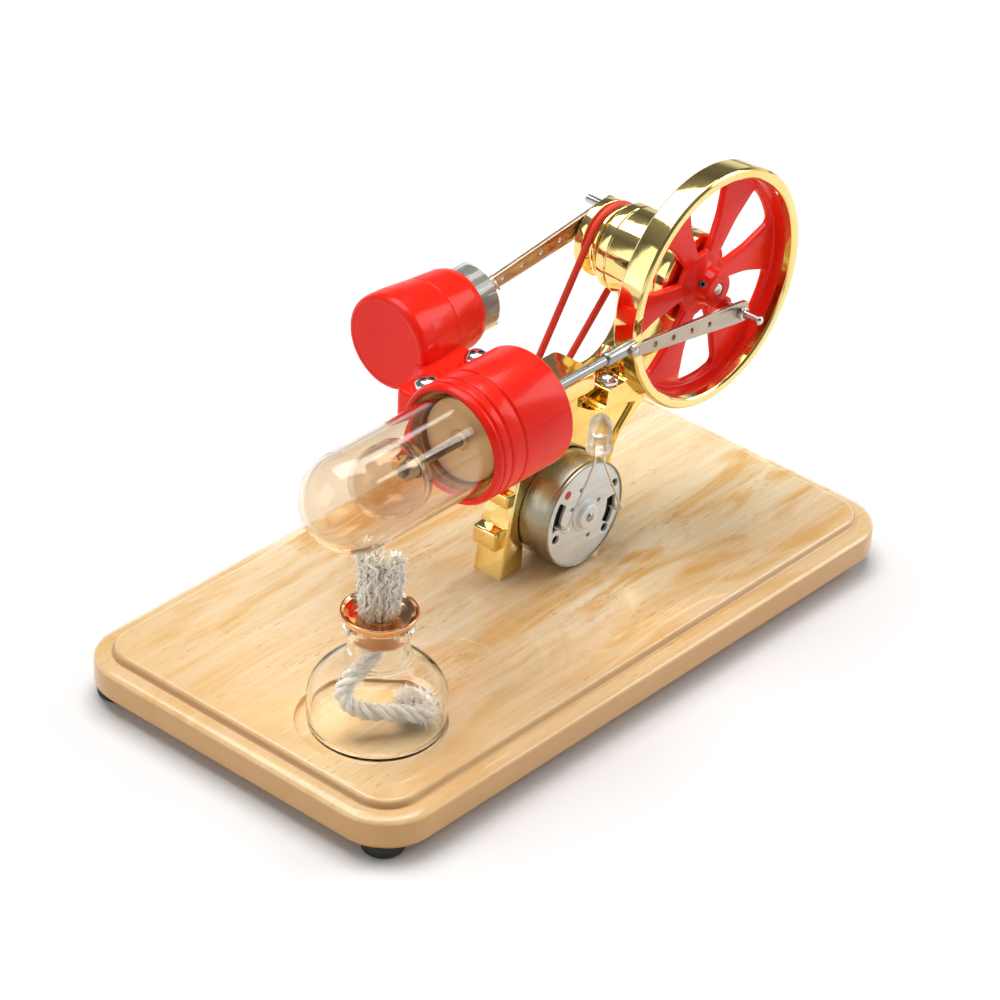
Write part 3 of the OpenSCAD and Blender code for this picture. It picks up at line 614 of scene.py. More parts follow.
def stand():
    """Cast stand with the motor's seat, two ledges, a pocket and a panel."""
    y0, y1 = span("stand_frame", "y")
    deck_low = span("stand_deck", "z")[0]
    seat_r = 12.35
    outline = [(-0.9, top_z), (-0.3, 16.9), (0.4, 21.7), (1.4, 26.2), (2.4, 30.8), (3.4, 34.8)]
    outline += arc((-3.2, 38.8), 8, -8, 62, 14)
    deck_end = span("stand_deck", "x")[1] - 0.6
    outline += [(0, deck_low + 1.5), (deck_end - 0.2, deck_low + 1.5), (deck_end, deck_low), (31, deck_low)]
    outline += arc((32, 59), 10, -84, -8, 18)
    outline += [(crank.x - 8.6, crank.z - 2), (crank.x + 8.8, crank.z - 3), (62.4, 62.5, 2),
                (60.2, 56.5, 6), (57, 50.5, 8), (53.6, 45.6, 8), (50, 41.6, 8), (46.3, 38.9, 8),
                (43.3, 37.2, 6), (39.7, 35, 6), (36.3, 32.4, 5), (34.2, 28.6, 8), (33.5, 24, 8),
                (33.4, 18, 8), (34.6, top_z)]
    # the motor's round seat, open at the board between the two legs
    half = math.degrees(math.asin(10.4 / seat_r))
    seat = arc((motor.x, motor.z), seat_r, -90 + half, 270 - half, 48)
    hole = [(motor.x + 10.4, top_z)] + seat + [(motor.x - 10.4, top_z)]
    body = plate("stand", [rounded(outline, steps=4) + hole], y0, y1, CAST_GOLD, edge=0.55, steps=3)
    low_ledge = [(-2.0, 18.7, 0.7), (2, 18.5), (2, 23.5), (-2.0, 23.3, 0.7)]
    high_ledge = [(0.1, 29.0, 0.6), (4, 28.8), (4, 32.3), (0.1, 32.1, 0.6)]
    ledges = [plate("ledge", [rounded(corners, True)], y0 + front, y1 - rear, CAST_GOLD, edge=0.5, steps=3)
              for corners, front, rear in ((low_ledge, 1.3, 0.3), (high_ledge, 0.2, 1.2))]
    # pocket past the deck's end with the screw's ledge, and the shallow panel on the rear leg
    screw = middle("stand_screw")
    shelf = span("stand_screw", "z")[1] - 2.05
    pocket = rounded([(21.2, 45.6, 0.7), (25.4, 42.9, 0.7), (29.5, 41.2, 0.7), (30.9, 41.4, 0.7),
                      (31.4, shelf, 0.7), (37.4, shelf, 0.7), (38, 52, 0.7), (21.2, 52, 0.7)], True)
    panel = rounded([(32.9, 38.2, 0.4), (34.9, 39.2, 0.4), (38.2, 39.3, 0.4), (40.9, 38.6, 0.4),
                     (38.5, 36.1, 2), (36, 33.6, 2), (34.4, 31, 2), (33.4, 28.4, 2), (32.6, 24.6, 0.4),
                     (31.6, 24.8, 0.4), (31.9, 28.5, 2), (32.3, 32.2, 2), (32.7, 35.8, 2)], True)
    carve(body, plate("cutter", [pocket], y0 - 1, y0 + 6, CAST_GOLD, edge=0.35, steps=3))
    carve(body, plate("cutter", [panel], y0 - 1, y0 + 0.8, CAST_GOLD, edge=0.25, steps=3))
    carve(body, lathe("cutter", [(shelf - 4, 0), (shelf - 4, 1.25), (shelf + 1, 1.25), (shelf + 1, 0)],
                      (screw.x, screw.y, 0), "z", CAST_GOLD, 32))
    fit(join("stand", [body] + ledges), "frame", "polished_brass", "stand_frame")


def deck():
    """Flat plate on the stand that carries the cylinders."""
    x0, x1 = span("stand_deck", "x")
    y0, y1 = span("stand_deck", "y")
    z0, z1 = span("stand_deck", "z")
    loop = rounded([(x0, y0, 1.5), (x1, y0, 1.5), (x1, y1, 1.5), (x0, y1, 1.5)], True)
    obj = plate("deck", [loop], z0, z1, CAST_GOLD, edge=0.5, axis="z", steps=3)
    fit(obj, "frame", "polished_brass", "stand_deck")


def housing():
    """Drum that holds the crankshaft's bearings."""
    y0, y1 = span("bearing_housing", "y")
    profile = [(y0 + 4.4, 3), (y0 + 4.4, 4.02), (y0 + 0.25, 4.02, 0.1), (y0, 4.3, 0.15), (y0, 9.5, 0.4),
               (y0 + 0.55, 10, 0.35), (y0 + 2.6, 10, 0.15), (y0 + 2.85, 9.8, 0.1), (y0 + 3.1, 10, 0.15),
               (y1 - 3.2, 10, 0.15), (y1 - 2.9, 9.75, 0.1), (y1 - 2.6, 10, 0.15), (y1 - 0.5, 10, 0.3),
               (y1, 9.5, 0.3), (y1, 8.6), (y1 - 0.6, 8.6), (y1 - 0.6, 5.2), (y1, 5.2), (y1, 4.02),
               (y1 - 4.4, 4.02), (y1 - 4.4, 3)]
    obj = lathe("housing", profile, *CRANK_LINE, GOLD, 160)
    fit(obj, "frame", "polished_brass", "bearing_housing")


stand()
deck()
housing()


# ---------- cylinders ----------

def grooved(front, r, grooves):
    """Rounded grooves in the outside of a turned cylinder, at distances from its front."""
    depth, half = 0.42, 0.42
    out = []
    for g in grooves:
        x = front + g
        out += [(x - half, r, 0.22), (x - half * 0.3, r - depth, 0.16), (x + half * 0.3, r - depth, 0.16),
                (x + half, r, 0.22)]
    return out


def displacer_cylinder():
    """Grooved red cylinder with a bare bore that holds the hot tube."""
    x0, x1 = span("displacer_cylinder", "x")
    r, bore = 13.0, 11.35
    profile = [(x1 - 3.2, 2.2), (x1 - 3.2, bore - 0.4, 0.3), (x0 + 0.6, bore, 0.2), (x0, bore + 0.35, 0.25),
               (x0, r - 0.45, 0.4), (x0 + 0.9, r, 0.5)]
    profile += grooved(x0, r, (1.8, 4.2, 8.3))
    profile += [(x1 - 0.9, r, 0.9), (x1, r - 1.3, 1.0), (x1, 6, 0), (x1, 2.2)]

    def paint(x, radius):
        return int(radius < bore + 0.1 and x0 + 0.45 < x < x1 - 1)
    obj = lathe("displacer_cylinder_turned", profile, *HOT_LINE, [RED, ALUMINIUM], 160, paint=paint)
    fit(obj, "frame", "red_enamel", "displacer_cylinder")


def power_cylinder():
    """Tapered red cylinder, closed at its front."""
    x0, x1 = span("power_cylinder", "x")
    bore = 7.6
    profile = [(x0 + 2.3, 0), (x0 + 2.3, bore), (x1, bore), (x1, 8.1, 0.3), (x1 - 0.4, 8.6, 0.5),
               (x1 - 2, 9.05, 0.3), (x0 + 12.4, 9.66, 0.2), (x0 + 12.2, 9.56, 0.1), (x0 + 12.0, 9.72, 0.2),
               (x0 + 5, 10.5, 3), (x0 + 1.5, 10.6, 1), (x0 + 0.35, 10.35, 0.6), (x0, 9.5, 0.35),
               (x0 + 0.12, 9.1, 0.2), (x0 + 0.12, 0)]
    obj = lathe("power_cylinder_turned", profile, *COLD_LINE, RED, 160)
    fit(obj, "frame", "red_enamel", "power_cylinder")


def block():
    """Casting that carries both cylinders on the deck, with two screw bosses."""
    z0, z1 = span("cylinder_block", "z")
    loop = rounded([(-25.6, -9, 1.2), (-12.5, -9, 1.2), (-10, -2.6, 2), (-3.3, -2.6, 2), (-3.3, 14, 1.2),
                    (-15, 14, 1.2), (-16.4, 7.2, 2), (-25.6, 7.2, 2)], True, 6)
    body = plate("block", [loop], z0, z1 - 1, RED, edge=0.9, axis="z", steps=4)
    for x0, x1, r, y in ((-30, 0, 9.9, disp_y), (-30, 10, 8.6, power_y)):
        carve(body, lathe("bore", [(x0, 0), (x0, r), (x1, r), (x1, 0)], (0, y, axis_z), "x", RED, 96))
    parts = [body]
    for x in block_screws_x:
        parts.append(lathe("boss", [(z0, 0), (z0, 3.7), (z1 - 1.0, 3.6, 0.4), (z1, 3.3, 0.5), (z1, 0)],
                           (x, screws_y, 0), "z", RED, 64))
    fit(join("block", parts), "frame", "red_enamel", "cylinder_block")


def cross_cutter(x, y, z, size, depth):
    """Tapered cross for a screw's recess."""
    bm = bmesh.new()
    for turn in (45, 135):
        out = Matrix.Rotation(math.radians(turn), 3, "Z")
        verts = []
        for dz, half, wide in ((0.5, size, 0.34), (-depth, size * 0.45, 0.2)):
            for sx, sy in ((-1, -1), (1, -1), (1, 1), (-1, 1)):
                verts.append(bm.verts.new(Vector((x, y, z + dz)) + out @ Vector((sx * half, sy * wide, 0))))
        a, b = verts[:4], verts[4:]
        bm.faces.new(a)
        bm.faces.new(b[::-1])
        bridge(bm, [b, a])
    return from_bmesh("cutter", bm, [CHROME])


def screws():
    """Pan-head screws with cross recesses."""
    z = span("block_screws", "z")[1]
    parts = []
    for x in block_screws_x:
        head = lathe("screw", [(z - 6, 0), (z - 6, 1.5), (z - 2.25, 1.5), (z - 2.25, 2.55, 0.15),
                               (z - 1.9, 2.72, 0.2), (z - 1.1, 2.65, 0.5), (z - 0.25, 1.7, 1.4), (z, 0)],
                     (x, screws_y, 0), "z", CHROME, 64)
        parts.append(carve(head, cross_cutter(x, screws_y, z - 0.1, 1.65, 1.3)))
    fit(join("screws", parts), "frame", "screw_chrome", "block_screws")
    at, z = middle("stand_screw"), span("stand_screw", "z")[1]
    head = lathe("stand_screw_head", [(z - 6, 0), (z - 6, 1.2), (z - 2.05, 1.2), (z - 2.05, 2.25, 0.15),
                                      (z - 1.7, 2.4, 0.2), (z - 1.0, 2.35, 0.5), (z - 0.2, 1.5, 1.2),
                                      (z, 0)], (at.x, at.y, 0), "z", CHROME, 64)
    carve(head, cross_cutter(at.x, at.y, z - 0.1, 1.4, 1.1))
    fit(head, "frame", "screw_chrome", "stand_screw")


displacer_cylinder()
power_cylinder()
block()
screws()


# ---------- glass and pistons ----------

def tube():
    """Round-ended glass tube over the burner."""
    tip, rear = span("hot_tube", "x")
    r, wall = 10.5, 1.0
    outer = arc((tip + r, 0), r, 180, 90, 28)
    inner = arc((tip + r, 0), r - wall, 90, 180, 28)
    profile = outer + [(rear - 0.3, r), (rear, r - 0.3), (rear, r - wall + 0.3),
                       (rear - 0.3, r - wall)] + inner
    profile[-1] = (profile[-1][0], 0)
    profile[0] = (profile[0][0], 0)
    obj = lathe("hot_tube_glass", profile, *HOT_LINE, TUBE_GLASS, 160)
    obj.visible_shadow = False
    fit(obj, "frame", "clear_glass", "hot_tube")


def bulb():
    """Sealed glass capsule, with a neck for its cap."""
    tip, rear = span("displacer_bulb", "x")
    r, wall, corner, neck = 7.6, 0.95, 5.0, 2.0
    front, back = (tip + r, 0), (rear - corner, r - corner)
    profile = arc(front, r, 180, 90, 28) + arc(back, corner, 90, 0, 16) + [(rear, neck), (rear - wall, neck)]
    profile += arc(back, corner - wall, 0, 90, 16) + arc(front, r - wall, 90, 180, 28)
    profile[0], profile[-1] = (tip, 0), (tip + wall, 0)
    obj = lathe("displacer_glass", profile, *HOT_LINE, BULB_GLASS, 128)
    obj.visible_shadow = False
    fit(obj, "displacer", "clear_glass", "displacer_bulb")


def sleeve():
    """Clear glass liner behind the power cylinder."""
    x0, x1 = span("glass_cylinder", "x")
    profile = [(x0, 6.55), (x1 - 0.35, 6.55, 0.2), (x1, 6.9, 0.25), (x1, 7.3, 0.25), (x1 - 0.35, 7.6, 0.2),
               (x0, 7.6)]
    obj = lathe("sleeve_glass", profile, *COLD_LINE, GLASS, 128)
    obj.visible_shadow = False
    fit(obj, "frame", "clear_glass", "glass_cylinder")


tube()
bulb()
sleeve()


def displacer_parts():
    """Cap, rod and rod end behind the glass displacer."""
    x0, x1 = span("displacer_plug", "x")
    seat = span("displacer_bulb", "x")[1]
    profile = [(x0, 1), (x0, 1.7, 0.2), (x0 + 0.3, 1.98, 0.1), (seat, 1.98), (seat + 0.02, 2.55, 0.15),
               (x1 - 0.4, 2.58, 0.3), (x1, 2.1, 0.2), (x1, 1)]
    cap = lathe("cap", profile, *HOT_LINE, ALUMINIUM, 96)
    fit(cap, "displacer", "turned_aluminium", "displacer_plug")
    x0, x1 = span("displacer_rod", "x")
    rod = lathe("rod", [(x0, 0), (x0, 0.7), (x0 + 0.3, 1, 0.1), (x1, 1), (x1, 0)], *HOT_LINE, ROD_STEEL, 48)
    fit(rod, "displacer", "steel", "displacer_rod")
    x0, x1 = span("rod_end", "x")
    profile = [(x0, 1.0), (x0, 1.3, 0.1), (x0 + 0.4, 1.5, 0.2), (x1 - 0.6, 1.5, 0.3),
               (x1, 1.0, 0.3), (x1, 0), (x0 + 2, 0), (x0 + 2, 1)]
    body = lathe("rod_end", profile, *HOT_LINE, ROD_STEEL, 64, closed=False)
    y0 = span("rod_end", "y")[0]
    pin = lathe("pin", [(y0, 0), (y0, 0.55), (y0 + 0.15, 0.75, 0.1), (disp_y, 0.75), (disp_y, 0)],
                (clevis.x, 0, clevis.z), "y", PIN_STEEL, 48)
    fit(join("rod_end_turned", [body, pin]), "displacer", "steel", "rod_end")


def bush():
    """Bush in the cylinder's rear wall, with the sleeve and disc that close the tube's mouth."""
    x0, x1 = span("rod_bush", "x")
    profile = [(x0, 1.05), (x0, 1.4, 0.15), (x0 + 0.25, 2.0, 0.2), (x0, 2.6, 0.3), (x0, 8.9, 0.3),
               (x0 + 0.3, 9.2, 0.2), (x0 + 1.2, 9.2, 0.2), (x0 + 1.5, 8.9, 0.2), (x0 + 1.9, 3.4, 0.8),
               (x0 + 2.6, 3), (x1 - 4.8, 3), (x1 - 4.8, 2.2), (x1 - 1.6, 2.2), (x1 - 1.6, 3.3, 0.2),
               (x1 - 0.4, 3.1, 0.3), (x1, 2.4, 0.3), (x1, 1.3, 0.2), (x1 - 0.3, 1.05)]

    def paint(x, radius):
        return int(x < x1 - 2)
    obj = lathe("bush", profile, *HOT_LINE, [GOLD, TAN_BRASS], 96, paint=paint)
    fit(obj, "frame", "polished_brass", "rod_bush")


def piston():
    """Graphite piston with two grooves, and its wrist pin."""
    x0, x1 = span("power_piston", "x")
    r = 6.48
    profile = [(x0, 0), (x0, r - 0.3, 0.2), (x0 + 0.3, r, 0.2)]
    for g in (1.8, 3.4):
        profile += [(x0 + g - 0.25, r), (x0 + g - 0.2, r - 0.25), (x0 + g + 0.2, r - 0.25),
                    (x0 + g + 0.25, r)]
    profile += [(x1 - 0.3, r, 0.2), (x1, r - 0.3, 0.2), (x1, 4.7, 0.15), (x1 - 0.2, 4.6),
                (wrist.x - 3, 4.6, 0.4), (wrist.x - 3, 0)]
    fit(lathe("piston_turned", profile, *COLD_LINE, GRAPHITE, 128), "piston", "graphite", "power_piston")
    y0, y1 = span("wrist_pin", "y")
    pin = lathe("wrist_pin_turned", [(y0, 0), (y0, 0.6), (y0 + 0.15, 0.75), (y1 - 0.15, 0.75), (y1, 0.6),
                                     (y1, 0)], (wrist.x, 0, wrist.z), "y", PIN_STEEL, 32)
    fit(pin, "piston", "steel", "wrist_pin")


def conrod(name, pivot, far, length, holes, y, body, node, material):
    """Tapered flat bar from its pivot to its crank pin, drilled along its length."""
    tilt = math.atan2(far[1] - pivot.z, far[0] - pivot.x)
    head = [(length * 0.5, -1.95), (length - 1.2, -2.4, 6), (length + 1.7, -2.3, 0.9),
            (length + 2.35, 0, 2.5), (length + 1.7, 2.3, 0.9), (length - 1.2, 2.4, 6), (length * 0.5, 1.95)]
    outline = arc((0, 0), 1.45, 95, 265, 20) + rounded(head, steps=6)
    loops = [outline, circle((0, 0), 0.8), circle((length, 0), 1.0)]
    loops += [circle((6 * i, 0), 0.65) for i in holes]
    turn = Matrix.Translation((pivot.x, 0, pivot.z)) @ Matrix.Rotation(-tilt, 4, "Y")
    obj = plate(name, loops, y - 0.5, y + 0.5, material, edge=0.12, turn=turn)
    fit(obj, body, "steel", node)


def crank_pin(name, at, root, tip, washer, body, node):
    """Pin that stands out of the crank, with a shoulder next to the bar."""
    s = math.copysign(1, tip - root)
    profile = [(root, 0), (root, 1.0), (washer, 1.0), (washer, 1.45, 0.1), (washer + s * 0.9, 1.45, 0.2),
               (washer + s * 0.9, 1.0, 0.1), (tip - s * 0.45, 1.0, 0.3), (tip, 0.55, 0.2), (tip, 0)]
    obj = lathe(name, profile, (at[0], 0, at[1]), "y", PIN_STEEL, 64)
    fit(obj, body, "steel", node)


def middle_xz(node):
    """Centre of a CAD node seen from the side, in mm."""
    m = middle(node)
    return m.x, m.z


displacer_parts()
bush()
piston()
disp_pin = middle_xz("displacer_crank_pin")
power_pin = middle_xz("power_crank_pin")
disp_bar_y = middle("displacer_conrod").y
power_bar_y = middle("power_conrod").y
conrod("displacer_bar", clevis, disp_pin, 35, (1, 2, 3, 4), disp_bar_y, "displacer_link",
       "displacer_conrod", STEEL)
conrod("power_bar", wrist, power_pin, 46, (1, 2, 3, 4, 5), power_bar_y, "power_link", "power_conrod",
       BAR_STEEL)
y0, y1 = span("displacer_crank_pin", "y")
crank_pin("displacer_pin", disp_pin, y1, y0, disp_bar_y - 0.5, "displacer_link", "displacer_crank_pin")
y0, y1 = span("power_crank_pin", "y")
crank_pin("power_pin", power_pin, y0, y1, power_bar_y + 0.5, "power_link", "power_crank_pin")


# ---------- crank ----------

def rim():
    """Gold ring of the flywheel."""
    y0, y1 = span("flywheel_rim", "y")
    r = rim_r
    profile = [(y0 + 2.1, r - 2.55, 0.1), (y0 + 0.4, r - 2.45, 0.3), (y0, r - 2.0, 0.35),
               (y0, r - 0.5, 0.35), (y0 + 0.55, r, 0.45), (y1 - 0.55, r, 0.45), (y1, r - 0.5, 0.35),
               (y1, r - 2.2, 0.3), (y1 - 0.3, r - 2.6), (y0 + 2.1, r - 2.7)]
    fit(lathe("rim", profile, *CRANK_LINE, GOLD, 224), "crank", "polished_brass", "flywheel_rim")


def window(at):
    """Petal-shaped opening between two spokes, pointing along an angle in degrees."""
    def polar(r, a):
        a = math.radians(at + a)
        return (crank.x + r * math.cos(a), crank.z + r * math.sin(a))
    corners = [(*polar(7.1, -14), 0.8), (*polar(15, -18), 14), (*polar(22.9, -15.5), 1.4),
               (*polar(23.4, 0), 20), (*polar(22.9, 15.5), 1.4), (*polar(15, 18), 14),
               (*polar(7.1, 14), 0.8)]
    return rounded(corners, True, 6)


def web():
    """Spokes, inner wall and hub of the flywheel, with a boss for the crank pin and a grub screw's hole."""
    y0, y1 = span("flywheel_rim", "y")
    r = rim_r
    disc = circle((crank.x, crank.z), r - 2.9, 120)
    parts = [plate("spokes", [disc] + [window(60 * i + 30) for i in range(6)], y0 + 4.4, y1 - 0.05, RED,
                   edge=0.45, steps=3)]
    wall = [(y0 + 2.0, r - 2.62), (y0 + 2.0, r - 2.85, 0.2), (y0 + 2.8, r - 3.1, 0.6),
            (y0 + 4.2, r - 3.4, 0.6), (y0 + 4.8, r - 4.4, 0.6), (y1 - 0.4, r - 4.4, 0.4),
            (y1 - 0.1, r - 4.0), (y1 - 0.1, r - 2.62)]
    parts.append(lathe("wall", wall, *CRANK_LINE, RED, 224))
    hub = [(y0, 1.5), (y0, 3.6, 0.3), (y0 + 0.4, 3.95, 0.4), (y0 + 3.2, 4.15, 1.5), (y0 + 4.0, 5.6, 1.2),
           (y0 + 4.6, 6.8, 0.5), (y1 - 0.6, 6.8), (y1 - 0.6, 5, 0.3), (y1, 4.6, 0.3), (y1, 1.5)]
    hub = lathe("hub", hub, *CRANK_LINE, RED, 128)
    hole = lathe("cutter", [(1.4, 0), (1.4, 0.92), (7, 0.92), (7, 0)], (0, 0, 0), "x", RED, 32)
    root = Vector((crank.x, middle("flywheel_grub_screw").y, crank.z)) * MM
    hole.data.transform(Matrix.Translation(root) @ Matrix.Rotation(-math.radians(150), 4, "Y"))
    parts.append(carve(hub, hole))
    x, z = disp_pin
    boss = [(y0, 0), (y0, 1.5, 0.2), (y0 + 0.3, 1.8, 0.3), (y0 + 3.8, 1.9, 0.5), (y0 + 4.6, 2.6),
            (y0 + 4.6, 0)]
    parts.append(lathe("pin_boss", boss, (x, 0, z), "y", RED, 64))
    fit(join("web", parts), "crank", "red_enamel", "flywheel_web")


def shaft():
    """Crankshaft."""
    y0, y1 = span("crankshaft", "y")
    obj = lathe("shaft", [(y0, 0), (y0, 1.2, 0.1), (y0 + 0.3, 1.5, 0.1), (y1 - 0.3, 1.5, 0.1),
                          (y1, 1.2, 0.1), (y1, 0)], *CRANK_LINE, PIN_STEEL, 64)
    fit(obj, "crank", "steel", "crankshaft")


def pulley():
    """Grooved pulley on the crankshaft."""
    y0, y1 = span("drive_pulley", "y")
    r, belt = 8.7, middle("drive_belt").y
    groove = 7.15
    profile = [(y0, 1.5), (y0, 4.8, 0.2), (y0 + 0.6, 5), (y0 + 0.6, r - 0.5, 0.2), (y0 + 0.9, r, 0.3),
               (belt - 1.35, r, 0.3), (belt - 0.95, groove + 0.5, 0.3), (belt - 0.4, groove, 0.4),
               (belt + 0.4, groove, 0.4), (belt + 0.95, groove + 0.5, 0.3), (belt + 1.35, r, 0.3),
               (y1 - 0.5, r, 0.4), (y1, r - 0.5, 0.3), (y1, 3.4, 0.2), (y1 - 0.25, 3.2), (y1 - 0.25, 1.5)]
    fit(lathe("pulley", profile, *CRANK_LINE, GOLD, 160), "crank", "polished_brass", "drive_pulley")


def belt():
    """Round cord round both pulleys."""
    y = middle("drive_belt").y
    big, small = 8.2, 2.6
    d = Vector((motor.x - crank.x, 0, motor.z - crank.z))
    lean = math.asin((big - small) / d.length)
    back = math.atan2(-d.z, -d.x)
    path = []
    for c, r, start, end, n in ((crank, big, back - math.pi / 2 - lean, back + math.pi / 2 + lean, 64),
                                (motor, small, back + math.pi / 2 + lean, back + 1.5 * math.pi - lean, 32)):
        turns = [start + (end - start) * k / n for k in range(n + 1)]
        arc_pts = [Vector((c.x + r * math.cos(a), y, c.z + r * math.sin(a))) for a in turns]
        if path:
            a, b = path[-1], arc_pts[0]
            path += [a.lerp(b, k / 20) for k in range(1, 20)]
        path += arc_pts
    a, b = path[-1], path[0]
    path += [a.lerp(b, k / 20) for k in range(1, 20)]
    bm = bmesh.new()
    add_tube(bm, path, 0.8, 20, cyclic=True)
    fit(from_bmesh("belt", bm, BELT_RED), "frame", "belt_rubber", "drive_belt")


rim()
web()
shaft()
pulley()
belt()


# ---------- motor and lamp ----------

def motor_parts():
    """Can, slotted end plate, brush holder and a red mark."""
    y0, y1 = span("motor_can", "y")
    r = 12.2
    profile = [(y0 + 0.1, r - 0.6), (y0 - 0.25, r - 0.45, 0.2), (y0 - 0.25, r - 0.1, 0.15),
               (y0 + 0.2, r, 0.3), (y0 + 0.9, r - 0.06, 0.3), (y0 + 1.1, r), (y1 - 2.1, r, 1.0),
               (y1 - 1.2, r - 0.9, 0.9), (y1 - 1.2, 3, 0.3), (y1, 2.9, 0.3), (y1, 1.05), (y1 - 1.9, 1.05),
               (y1 - 1.9, r - 0.7), (y0 + 0.1, r - 0.7)]
    can = lathe("can", profile, *MOTOR_LINE, ZINC, 160)
    fit(can, "frame", "motor_steel", "motor_can")

    def slot(radius, mid, half, wide):
        outer = arc((motor.x, motor.z), radius + wide / 2, mid - half, mid + half, 10)
        inner = arc((motor.x, motor.z), radius - wide / 2, mid + half, mid - half, 10)
        corners = (0, 10, 11, 21)
        return rounded([(*p, wide * 0.45) if i in corners else p for i, p in enumerate(outer + inner)],
                       True, 4)

    def hole(radius, angle, size):
        a = math.radians(angle)
        return circle((motor.x + radius * math.cos(a), motor.z + radius * math.sin(a)), size)
    loops = [circle((motor.x, motor.z), r - 0.35, 120), slot(8.8, 162, 20, 2.6), slot(8.8, -16, 20, 2.6),
             hole(9.3, 195, 1.05), hole(9.6, -43, 1.05), hole(10.2, 20, 1.05)]
    loops += [hole(radius, angle, 0.55) for radius, angle in ((6.6, 101), (5.0, 18), (4.9, 144), (6.2, -74))]
    loops.append(arc((motor.x, motor.z), 2.9, 0, 352, 45))
    parts = [plate("face", loops, y0, y0 + 0.8, ZINC_FACE, edge=0.12)]
    boss = [(y0 + 0.5, 3.0), (y0 + 0.15, 3.1, 0.2), (y0 - 0.1, 3.9, 0.3), (y0 - 0.3, 3.6, 0.2),
            (y0 - 0.35, 2.95, 0.2), (y0 - 1.45, 2.8, 0.5), (y0 - 1.6, 2.3, 0.4), (y0 - 1.6, 0)]
    parts.append(lathe("boss", boss, *MOTOR_LINE, ZINC_FACE, 96, closed=False))
    fit(join("motor_face", parts), "frame", "motor_steel", "motor_end_plate")
    back = lathe("brush_holder", [(y0 + 1.2, 1.2), (y0 + 1.2, 11.2, 0.3), (y0 + 2.0, 11.2),
                                  (y0 + 2.0, 1.2)], *MOTOR_LINE, BLACK_RUBBER, 96)
    fit(back, "frame", "foot_rubber")
    a = math.radians(128)
    mark = lathe("mark", [(y0 - 0.04, 0), (y0 - 0.04, 0.95, 0.1), (y0 + 0.1, 1.1), (y0 + 0.1, 0)],
                 (motor.x + 9.2 * math.cos(a), 0, motor.z + 9.2 * math.sin(a)), "y", DOT_RED, 32)
    fit(mark, "frame", "belt_rubber")


def terminals():
    """Two drilled tabs in front of the motor."""
    front, rear = -13.1, -10.1
    parts = []
    for side, z in ((-1, motor.z + 1.05), (1, motor.z - 1.65)):
        x = motor.x + side * 8.9
        loop = rounded([(x - 0.8, front, 0.3), (x + 0.8, front, 0.3), (x + 0.8, rear), (x - 0.8, rear)], True)
        parts.append(plate("tab", [loop, arc((x, -12.4), 0.35, 0, 345, 15)], z - 0.25, z + 0.25, TIN,
                           edge=0.08, axis="z"))
    fit(join("terminals", parts), "frame", "screw_chrome", "motor_terminals")


def lamp():
    """Clear lamp with its lead frame, legs and solder beads."""
    low, high = span("led_lens", "z")
    c = middle("led_lens")
    profile = [(low, 0), (low, 2.75, 0.15), (low + 0.12, 2.9, 0.1), (low + 0.95, 2.9, 0.12),
               (low + 1.0, 2.55, 0.12), (low + 1.2, 2.5)]
    profile += [(low + 6.1 + y, r) for r, y in arc((0, 0), 2.5, 0, 90, 18)]
    profile[-1] = (high, 0)
    lens = lathe("lens", profile, (c.x, c.y, 0), "z", RESIN, 96)
    lens.visible_shadow = False
    fit(lens, "frame", "lamp_resin", "led_lens")
    profile = [(low + 3.3, 0), (low + 3.3, 0.75, 0.1), (low + 4.2, 1.0, 0.1),
               (low + 4.25, 0.85), (low + 3.8, 0.4), (low + 3.75, 0)]
    cup = lathe("lead_cup", profile, (c.x - 0.55, c.y, 0), "z", TIN, 32)
    anvil = plate("anvil", [[(c.x - 1.5, low + 0.4), (c.x - 1.0, low + 0.4), (c.x - 0.9, low + 2.2),
                             (c.x + 0.1, low + 3.0), (c.x + 0.1, low + 3.4), (c.x - 1.3, low + 3.4),
                             (c.x - 1.5, low + 2.4)]], c.y - 0.2, c.y + 0.2, TIN, 0.06)
    post = plate("post", [[(c.x + 1.0, low + 0.4), (c.x + 1.5, low + 0.4), (c.x + 1.5, low + 3.6),
                           (c.x + 0.6, low + 4.0), (c.x + 0.6, low + 3.6), (c.x + 1.1, low + 3.2)]],
                 c.y - 0.2, c.y + 0.2, TIN, 0.06)
    fit(join("lead_frame", [cup, anvil, post]), "frame", "screw_chrome")
    bm = bmesh.new()
    for side, end_z in ((-1, motor.z + 1.2), (1, motor.z - 1.15)):
        end = Vector((motor.x + side * 8.9, -12.8, end_z))
        knee = Vector((c.x + side * 1.5, c.y, low - 3.0))
        path = smooth_path([(c.x + side * 1.27, c.y, low + 0.5), (c.x + side * 1.27, c.y, low - 1.2),
                            knee, knee.lerp(end, 0.5), end], 8)
        add_tube(bm, path, 0.25, 10)
        add_lathe(bm, [(-0.55, 0), (-0.4, 0.4), (0, 0.55), (0.4, 0.42), (0.75, 0.2), (0.8, 0)], end, "z", 16)
    fit(from_bmesh("legs", bm, TIN), "frame", "screw_chrome", "led_legs")


